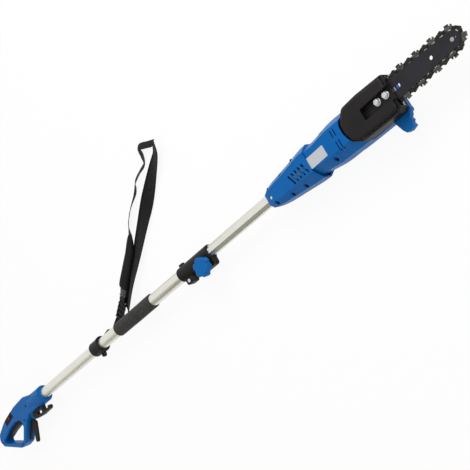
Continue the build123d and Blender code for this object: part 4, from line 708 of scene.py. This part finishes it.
# %% [markdown]
# The two halves of the housing and of the handle are held by self-tapping screws with a cross recess, sunk in
# round wells. One screw is turned from rings and its recess is cut with a Boolean. Geometry Nodes put one at
# each well, every one turned by a different angle, as they stop where the torque stops them.

# %% Screws
AXIS_HEIGHT = 42.0
HOUSING_SCREWS = ((-101, 17.5), (-90, -21.5), (-44, -29.5), (-50, 22.5), (-5, -34), (-12, 32.3), (93, -33.5),
                  (87, 33))
HANDLE_SCREWS = ((-1287, 2), (-1324, -30), (-1487, -43), (-1384, -85))
HOUSING_SEAT = 12.0
HANDLE_SEAT = 15.0
SCREW_REACH = 14.0
SHANK_RADIUS = 2.0
HEAD_RADIUS = 4.0
SCREW_SIDES = 20
SCREW_SMOOTH_DEG = 30
RECESS_REACH = 2.4
RECESS_HALF = 0.5


def screw_shape(name, length):
    """Pan-head screw, its seat at the origin, with a cross recess."""
    shank = [(0.8, -length), (SHANK_RADIUS, -length + 2.5), (SHANK_RADIUS, -0.1)]
    head = [(HEAD_RADIUS, 0), (HEAD_RADIUS, 1.2), (3.5, 2.2), (2.4, 2.65)]
    bm = bmesh.new()
    turned_piece(bm, shank + head, SCREW_SIDES)
    screw = as_object(name, bm, "dark_steel")
    bm = bmesh.new()
    # The two arms differ a little in height, so that no faces coincide
    plate(bm, oblong(-RECESS_REACH, RECESS_REACH, -RECESS_HALF, RECESS_HALF), 1.3, 4)
    plate(bm, oblong(-RECESS_HALF, RECESS_HALF, -RECESS_REACH, RECESS_REACH), 1.2, 4.1)
    cross = as_object(name + "_recess", bm, "dark_steel")
    cut = screw.modifiers.new("recess", "BOOLEAN")
    cut.object = cross
    cut.use_self = True
    settle(screw, SCREW_SMOOTH_DEG)
    bpy.data.objects.remove(cross)
    scene.collection.objects.unlink(screw)
    return screw


screw_group, inputs = node_group("screws_in_wells", {"Seed": "NodeSocketInt"})
wells = add(screw_group, "GeometryNodeMeshToPoints", {"Mesh": inputs["Geometry"]})
spin = add(screw_group, "FunctionNodeRandomValue", {"Max": pi, "Seed": inputs["Seed"]}, data_type="FLOAT")
upright = add(screw_group, "ShaderNodeCombineXYZ", {"Z": spin.outputs["Value"]})
close_group(screw_group, inputs, wells.outputs[0], upright.outputs[0])

for node, body, places, seat, seed in (("housing_screws", "boom", HOUSING_SCREWS, HOUSING_SEAT, 3),
                                       ("handle_screws", "pole", HANDLE_SCREWS, HANDLE_SEAT, 8)):
    points = bpy.data.meshes.new(node + "_wells")
    points.from_pydata([(x * MM, y * MM, (AXIS_HEIGHT + seat) * MM) for x, y in places], [], [])
    shape = screw_shape(node + "_shape", seat + SCREW_REACH)
    heads = grow("recessed_" + node, points, screw_group, shape, {"Seed": seed}, SCREW_SMOOTH_DEG)
    stand_in(heads, body, node)

# %% [markdown]
# The shoulder strap is a wide padded belt, a narrow webbing that twists beside it, a pad, a buckle and a tail
# that ends at the pole's collar. Their routes were fitted to the photo. A smooth curve runs through each
# route's points, and at each step it gives the strap's middle, its direction across and its normal.

# %% Routes of the straps
# Rows of x, y, roll in degrees and, for the tail, lift off the floor
BELT_ROUTE = ((-366.5, 324, -40), (-369.5, 316, -38), (-381, 294, -31), (-416, 269, -19), (-482, 224, -4),
              (-540, 180, -14), (-606, 130, -24), (-677.1, 78.7, -34), (-728.5, 32.5, -42))
WEB_ROUTE = ((-373, 324.5, -36), (-396, 335, -39), (-424, 346, -36), (-427, 325, -24), (-432, 302, -36),
             (-457, 295, -42), (-488, 285, -40), (-497, 271, -54), (-512, 257, -60), (-540, 244, -52),
             (-563, 231, -42), (-582, 213, -44), (-599.5, 187.9, -20))
TAIL_ROUTE = ((-784.2, 35.1, 8, 2), (-795, 25.2, 18, 5), (-804.5, 13.6, 28, 11), (-815.2, 12.75, 30, 13.3))
BELT_WIDTH = 38.0
BELT_THICK = 3.6
STRAP_STEPS = 6


def through(route, steps):
    """Smooth curve through the route's rows of x, y, roll and lift."""
    rows = [tuple(row) + (0,) * (4 - len(row)) for row in route]
    rows = [rows[0]] + rows + [rows[-1]]
    fine = []
    for a, b, c, d in zip(rows, rows[1:], rows[2:], rows[3:]):
        for k in range(steps):
            t = k / steps
            fine.append([q + ((r - p) * t + (2 * p - 5 * q + 4 * r - s) * t ** 2
                              + (3 * q - p - 3 * r + s) * t ** 3) / 2 for p, q, r, s in zip(a, b, c, d)])
    return fine + [list(rows[-1])]


def strap_frames(route, width, thick, steps):
    """Middle, direction across and normal of the strap at each step along its route, in mm."""
    rows = through(route, steps)
    frames = []
    for i, (x, y, roll, lift) in enumerate(rows):
        before, after = rows[max(i - 1, 0)], rows[min(i + 1, len(rows) - 1)]
        ahead = Vector((after[0] - before[0], after[1] - before[1], 0)).normalized()
        side = Vector((-ahead.y, ahead.x, 0))
        tilt = radians(roll)
        across = Vector((0, 0, sin(tilt))) - side * cos(tilt)
        height = lift + (width * abs(sin(tilt)) + thick * cos(tilt)) / 2
        frames.append((Vector((x, y, height)), across, ahead.cross(across)))
    return frames


belt_frames = strap_frames(BELT_ROUTE, BELT_WIDTH, BELT_THICK, STRAP_STEPS)
print("the belt's route has", len(belt_frames), "steps")

# %% [markdown]
# Flat straps are modelled directly: a closed section stands across the route at each step, rolled with the
# strap. A cloth simulation would lose the firm edges that woven tape has.

# %% Belt and webbing
BELT_FLAP = 12.0
BELT_RIM = 0.25
RIM_AT = 0.86
RIM_WIDTH = 0.1
FLAP_THICK = 1.0
FLAP_FLOOR = 0.05
WEB_WIDTH = 24.0
WEB_THICK = 1.6
STRAP_SIDES = 48
STRAP_SQUARE = 0.45
STRAP_SMOOTH_DEG = 60


def squared(angle, squareness):
    """Cosine and sine, pushed outwards so that the section is a rounded oblong."""
    return [copysign(abs(v) ** squareness, v) for v in (cos(angle), sin(angle))]


def map_weave(mesh, places):
    """UV map that gives each vertex its place on the cloth, in metres."""
    layer = mesh.uv_layers.new(name="weave")
    for loop in mesh.loops:
        layer.data[loop.index].uv = places[loop.vertex_index]


def strap(name, route, width, thick, steps=STRAP_STEPS, flap=0.0, rim=0.0):
    """Strap and its length. A flap folds out flat from its low edge, ever wider over the first half, and a
    bound rim edges it."""
    frames = strap_frames(route, width, thick, steps)
    rows = []
    places = []
    length = 0.0
    for i, (middle, across, normal) in enumerate(frames):
        length += (middle - frames[i - 1][0]).length if i else 0.0
        flat = Vector((across.x, across.y, 0)).normalized()
        whole = width + flap * min(2 * i / len(frames), 1)
        low_edge = (middle + across * width / 2).z
        row = []
        for angle in round_angles(STRAP_SIDES):
            u, h = squared(angle, STRAP_SQUARE)
            folded = max((u + 1) * whole / 2 - width, 0)
            out = (u + 1) * whole / 2 - folded - width / 2
            bent = min(folded / thick, 1)
            face = (normal * (1 - bent) + Vector((0, 0, bent))).normalized()
            deep = thick + (FLAP_THICK - thick) * bent
            height = h * deep / 2 * (1 + rim * exp(-((abs(u) - RIM_AT) / RIM_WIDTH) ** 2) - rim)
            spot = middle + across * out + flat * folded + face * height
            spot.z -= bent * (low_edge - FLAP_THICK / 2 - FLAP_FLOOR)
            row.append(spot)
            places.append((u * whole / 2 * MM, length * MM))
        rows.append(row)
    piece = covered(name, rows, "webbing")
    map_weave(piece.data, places)
    smooth(piece.data, STRAP_SMOOTH_DEG)
    return piece, length


belt, belt_length = strap("padded_belt", BELT_ROUTE, BELT_WIDTH, BELT_THICK, flap=BELT_FLAP, rim=BELT_RIM)
web, web_length = strap("twisted_webbing", WEB_ROUTE, WEB_WIDTH, WEB_THICK)
for piece, node, wide, length in ((belt, "strap_belt", BELT_WIDTH + BELT_FLAP, belt_length),
                                  (web, "strap_webbing", WEB_WIDTH, web_length)):
    stand_in(piece, "pole", node)
    print(piece.name, round(wide, 1), "by", round(length, 1), "mm flat")

# %% [markdown]
# The tail is the last of the webbing. It leaves the adjuster and wraps the wire of the strap hook in a sewn
# loop, so it is a strap with a ring at its end. Both are bent from one tape and joined in one mesh.

# %% Strap tail
TAIL_STEPS = 8
HOOK_END = Vector((-819.0, 12.75, 19.92))
LOOP_INNER = 2.5
LOOP_OUTER = 4.1
LOOP_HALF = 9.5
LOOP_ROLL = radians(30)
LOOP_SIDES = 24
LOOP_SECTION = oblong(LOOP_INNER, LOOP_OUTER, -LOOP_HALF, LOOP_HALF)

tail, tail_length = strap("strap_tail_tape", TAIL_ROUTE, WEB_WIDTH, WEB_THICK, TAIL_STEPS)
bm = bmesh.new()
bm.from_mesh(tail.data)
maps = bm.loops.layers.uv["weave"]
across = Vector((0, cos(LOOP_ROLL), sin(LOOP_ROLL)))
normal = Vector((0, -sin(LOOP_ROLL), cos(LOOP_ROLL)))
turns = []
for angle in round_angles(LOOP_SIDES):
    outward = Vector((cos(angle), 0, 0)) + normal * sin(angle)
    turns.append([bm.verts.new((HOOK_END + outward * r + across * w) * MM) for r, w in LOOP_SECTION])
for i, face in enumerate(skin(bm, turns, closed=True)):
    k, j = divmod(i, len(LOOP_SECTION))
    for loop, (wide, far) in zip(face.loops, ((j, k), (j + 1, k), (j + 1, k + 1), (j, k + 1))):
        across_tape = LOOP_SECTION[wide % len(LOOP_SECTION)][1]
        loop[maps].uv = (across_tape * MM, far / LOOP_SIDES * 2 * pi * LOOP_OUTER * MM)
bmesh.ops.recalc_face_normals(bm, faces=bm.faces)
bm.to_mesh(tail.data)
bm.free()
stand_in(tail, "pole", "strap_tail")

# %% [markdown]
# The pad is a stuffed sleeve of cloth with a seam along each side and gathered ends. A cloth simulation could
# inflate it, but at this size the seams would be lost in the remesh, so it is modelled directly: crowned
# sections along the route, drawn in at the ends, at the seams and at the rows of quilting that run across.

# %% Shoulder pad
PAD_ROUTE = ((-597.4, 189.2), (-626, 157.2), (-660, 129.2), (-694, 103.2), (-711.7, 88.9))
PAD_WIDTH = 27.5
PAD_THICK = 14.0
PAD_STEPS = 16
PAD_SIDES = 40
PAD_SQUARE = 0.7
PAD_FLOOR = 1.2
PAD_GIRTH = 66.0
PAD_TAPER = 0.58
TAPER_SHARE = 0.13
PAD_TUCK = 0.25
TUCK_SHARE = 0.025
QUILT = 17.0
QUILT_PULL = 0.05
SEAM_PULL = 0.08
SEAM_AT = 0.94
SEAM_WIDTH = 0.05


def pad_size(share):
    """Size of the section at a share of the length: it tapers to the first end and swells to the last."""
    taper = PAD_TAPER * exp(-share / TAPER_SHARE)
    tuck = PAD_TUCK * exp(-(1 - share) / TUCK_SHARE)
    return (0.96 + 0.24 * share) * (1 - taper) * (1 - tuck)


spine = [Vector((row[0], row[1], PAD_THICK / 2)) for row in through(PAD_ROUTE, PAD_STEPS)]
pad_length = sum((b - a).length for a, b in zip(spine, spine[1:]))
rows = []
places = []
gone = 0.0
for i, middle in enumerate(spine):
    gone += (middle - spine[i - 1]).length if i else 0.0
    ahead = (spine[min(i + 1, len(spine) - 1)] - spine[max(i - 1, 0)]).normalized()
    side = Vector((-ahead.y, ahead.x, 0))
    size = pad_size(gone / pad_length)
    middle = middle - side * max(size - 1, 0) * PAD_WIDTH / 2
    pull = QUILT_PULL * abs(cos(pi * gone / QUILT)) ** 8
    row = []
    for angle in round_angles(PAD_SIDES):
        u, h = squared(angle, PAD_SQUARE)
        fold = 1 - pull * max(sin(angle), 0) - SEAM_PULL * exp(-((abs(u) - SEAM_AT) / SEAM_WIDTH) ** 2)
        spot = middle + side * u * PAD_WIDTH / 2 * size + Vector((0, 0, h * PAD_THICK / 2 * size * fold))
        spot.z = max(spot.z, PAD_FLOOR)
        row.append(spot)
        places.append((angle * PAD_GIRTH / (2 * pi) * MM, gone * MM))
    rows.append(row)
pad = covered("quilted_pad", rows, "pad_cloth")
map_weave(pad.data, places)
pad.data.shade_smooth()
stand_in(pad, "pole", "strap_pad")
print("pad", round(pad_length), "mm long")

# %% [markdown]
# The buckle is a side-release clip: the plug's two prongs snap into the windows of the socket and are pinched
# to open it. The adjuster is a ladder of bars that the webbing is threaded through. They are moulded in
# acetal and drawn as flat outlines with broken edges, laid along the strap.

# %% Buckle and adjuster
SOCKET_ENDS = ((-712.2, 88.6), (-729.2, 74.6))
PLUG_ENDS = ((-729.7, 74.2), (-743.2, 62.6))
ADJUSTER_ENDS = ((-744.2, 61.8), (-783.0, 36.2))
ADJUSTER_BARS = (0.1, 13.9, 27.6, 41.6)
BAR_LENGTH = 4.6
HALF_SOCKET = [(0, -8.5), (2, -10.8), (5.5, -10.8), (7.5, -8.2),
               (15, -8.2), (17, -10.8), (20, -10.8), (21.8, -9)]
HALF_PLUG = [(0.1, -7.6), (1.6, -9.7), (9.4, -9.7)]


def both_halves(half):
    return half + [(x, -y) for x, y in half[::-1]]


def both_sides(x0, x1, y0, y1):
    return [oblong(x0, x1, y0, y1), oblong(x0, x1, -y1, -y0)]


def laid(name, node, ends, finish, edge_mm, plates):
    """Plates of (outline, low, high) in mm, drawn along X from the first end to the second one."""
    (x0, y0), (x1, y1) = ends
    bm = bmesh.new()
    for outline, low, high in plates:
        plate(bm, outline, low, high)
    heading = Matrix.Rotation(atan2(y1 - y0, x1 - x0), 4, "Z")
    bm.transform(Matrix.Translation((x0 * MM, y0 * MM, 0)) @ heading)
    piece = soften(as_object(name, bm, finish), edge_mm)
    stand_in(piece, "pole", node)


laid("release_socket", "buckle_socket", SOCKET_ENDS, "buckle_plastic", 0.7,
     [(both_halves(HALF_SOCKET), 1.4, 11.2), (oblong(3.5, 19, -4.5, 4.5), 11.0, 11.9)]
     + [(rib, 2.6, 10.4) for rib in both_sides(7.9, 14.6, 8.0, 10.2)])
laid("release_plug", "buckle_plug", PLUG_ENDS, "black_acetal", 0.5,
     [(both_halves(HALF_PLUG), 2.2, 10.8), (oblong(15.2, 17.6, -9.7, 9.7), 3.2, 9.8),
      (oblong(9.2, 15.4, -6.6, 6.6), 5.2, 7.8)]
     + [(rail, 3.2, 9.8) for rail in both_sides(9.2, 15.4, 7.2, 9.7)])
laid("ladder_adjuster", "strap_adjuster", ADJUSTER_ENDS, "black_acetal", 0.5,
     [(oblong(x, x + BAR_LENGTH, -12.8, 12.8), 2.4, 9.8) for x in ADJUSTER_BARS]
     + [(rail, 3.2, 8.6) for rail in both_sides(4.5, 41.8, 9.8, 12.6)]
     + [(oblong(4.5, 41.8, -9.4, 9.4), 4.6, 6.4)])

# %% [markdown]
# Two rows of stitches hold the binding on the belt. Geometry Nodes space them along lines on the belt's upper
# face: each line becomes a curve, is measured off in even steps, and gets one short stitch at every step.

# %% Stitches
STITCH_STEP = 4.5
STITCH_LENGTH = 3.0
STITCH_RADIUS = 0.35
STITCH_TIP = 0.15
STITCH_SIDES = 6
STITCH_INSET = 0.78
STITCH_HEIGHT = 1.75

bm = bmesh.new()
turned_piece(bm, [(STITCH_TIP, -STITCH_LENGTH / 2), (STITCH_RADIUS, -STITCH_LENGTH / 4),
                  (STITCH_RADIUS, STITCH_LENGTH / 4), (STITCH_TIP, STITCH_LENGTH / 2)], STITCH_SIDES)
bmesh.ops.rotate(bm, verts=bm.verts, cent=(0, 0, 0), matrix=Matrix.Rotation(pi / 2, 3, "Y"))
stitch = as_object("stitch", bm, "thread")
scene.collection.objects.unlink(stitch)

stitch_group, inputs = node_group("stitches_on_a_line", {"Step": "NodeSocketFloat"})
seam = add(stitch_group, "GeometryNodeMeshToCurve", {"Mesh": inputs["Geometry"]})
steps = add(stitch_group, "GeometryNodeResampleCurve", {"Curve": seam.outputs[0], "Length": inputs["Step"]},
            mode="LENGTH")
heading = add(stitch_group, "GeometryNodeInputTangent")
turned = add(stitch_group, "FunctionNodeAlignRotationToVector", {"Vector": heading.outputs[0]}, axis="X")
close_group(stitch_group, inputs, steps.outputs[0], turned.outputs[0])

count = len(belt_frames)
spots = [(middle + across * edge * STITCH_INSET * BELT_WIDTH / 2 + normal * STITCH_HEIGHT) * MM
         for edge in (-1, 1) for middle, across, normal in belt_frames]
seams = bpy.data.meshes.new("belt_seams")
seams.from_pydata(spots, [(i + start, i + 1 + start) for start in (0, count) for i in range(count - 1)], [])
stitches = grow("belt_stitches", seams, stitch_group, stitch, {"Step": STITCH_STEP * MM})
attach(stitches, "pole")
print("stitch faces", len(stitches.data.polygons))

# %% [markdown]
# The foam grip is a tube of closed-cell foam pushed over the pole. It is turned from rings on the pole's
# axis, with rounded ends, a bore, and a slight unevenness, as foam never ends up quite round.

# %% Foam grip
FOAM_REAR = -763.0
FOAM_LENGTH = 170.0
FOAM_RADIUS = 19.5
FOAM_BORE = 16.15
FOAM_ROUND = 3.0
ROUND_STEPS = 6
FOAM_SIDES = 64
FOAM_STEPS = 34
FOAM_OVAL = 0.16
OVAL_TWIST = 23.0
FOAM_RIPPLE = 0.12
RIPPLE_LENGTH = 11.0
FOAM_SMOOTH_DEG = 50

bends = [pi / 2 / ROUND_STEPS * k for k in range(ROUND_STEPS + 1)]
rounding = [(FOAM_ROUND * (1 - cos(a)), FOAM_RADIUS - FOAM_ROUND * (1 - sin(a))) for a in bends]
straight = FOAM_LENGTH - 2 * FOAM_ROUND
profile = [(0.0, FOAM_BORE)] + rounding
profile += [(FOAM_ROUND + straight * k / FOAM_STEPS, FOAM_RADIUS) for k in range(1, FOAM_STEPS)]
profile += [(FOAM_LENGTH - x, radius) for x, radius in rounding[::-1]] + [(FOAM_LENGTH, FOAM_BORE)]
rows = []
for x, radius in profile:
    row = []
    for angle in round_angles(FOAM_SIDES):
        reach = radius
        if radius > FOAM_BORE:
            reach += FOAM_OVAL * (sin(3 * angle + x / OVAL_TWIST) - 1)
            reach += FOAM_RIPPLE * (sin(x / RIPPLE_LENGTH) - 1)
        row.append(Vector((FOAM_REAR + x, reach * cos(angle), AXIS_HEIGHT + reach * sin(angle))))
    rows.append(row)
foam = covered("foam_sleeve", rows, "foam", closed=True)
smooth(foam.data, FOAM_SMOOTH_DEG)
stand_in(foam, "pole", "foam_grip")

# %% [markdown]
# The grip's soft rubber also covers the flanks round the lock button: it is moulded over the hard shell in a
# second shot. So its skin is a copy of the shell's outside there, cut out with three planes and thickened.

# %% Soft flanks of the grip
# A point of each plane and the direction that is cut away
FLANK_CUTS = (((-1426, 0), (-1, 0)), ((-1372, 0), (1, 0.35)), ((-1398, -3), (0.25, -1)))
FLANK_THICK = 0.6
FLANK_STANDS = 12.0
FLANK_FACING = 0.25
FLANK_SMOOTH_DEG = 40
WELD = 0.01

bm = bmesh.new()
for half in ("handle_right_half", "handle_left_half"):
    bm.from_mesh(nodes[half].data)
bmesh.ops.remove_doubles(bm, verts=bm.verts, dist=WELD * MM)
for (x, y), (out_x, out_y) in FLANK_CUTS:
    bmesh.ops.bisect_plane(bm, geom=bm.verts[:] + bm.edges[:] + bm.faces[:], plane_co=(x * MM, y * MM, 0),
                           plane_no=(out_x, out_y, 0), clear_outer=True)
bm.normal_update()
inside = []
for face in bm.faces:
    stands = face.calc_center_median().z - AXIS_HEIGHT * MM
    if abs(stands) < FLANK_STANDS * MM or face.normal.z * copysign(1, stands) < FLANK_FACING:
        inside.append(face)
bmesh.ops.delete(bm, geom=inside, context="FACES")
flanks = as_object("soft_grip_flanks", bm, "soft_grip")
wall = flanks.modifiers.new("second_shot", "SOLIDIFY")
wall.thickness = FLANK_THICK * MM
wall.offset = 1
settle(flanks, FLANK_SMOOTH_DEG)
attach(flanks, "pole")
print("soft flanks", len(flanks.data.polygons), "faces")

# %% [markdown]
# Inside the tubes a curly lead joins the handle to the motor. When the pole is drawn out, its turns spread,
# as a telephone lead's do, but here the lead is one fixed mesh: a small ring of points follows a helix, and
# the coil keeps its place whatever the bodies do.

# %% Curly lead
LEAD_WIRE = 2.1
LEAD_TURN = 4.2
LEAD_PITCH = 9.0
TURN_STEPS = 12
WIRE_SIDES = 6

low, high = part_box("curly_lead")
rear, front = low.x / MM + LEAD_WIRE, high.x / MM - LEAD_WIRE
slope = LEAD_PITCH / (2 * pi)
rows = []
for i in range(int((front - rear) / LEAD_PITCH * TURN_STEPS)):
    angle = 2 * pi * i / TURN_STEPS
    outward = Vector((0, cos(angle), sin(angle)))
    tangent = Vector((slope, -LEAD_TURN * sin(angle), LEAD_TURN * cos(angle))).normalized()
    aside = tangent.cross(outward)
    middle = Vector((rear + slope * angle, 0, AXIS_HEIGHT)) + outward * LEAD_TURN
    rows.append([middle + (outward * cos(a) + aside * sin(a)) * LEAD_WIRE for a in round_angles(WIRE_SIDES)])
coil = covered("coiled_lead", rows, "lead_rubber")
coil.data.shade_smooth()
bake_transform(coil)
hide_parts("curly_lead")
print("curly lead", round((front - rear) / LEAD_PITCH), "turns,", len(coil.data.polygons), "faces")
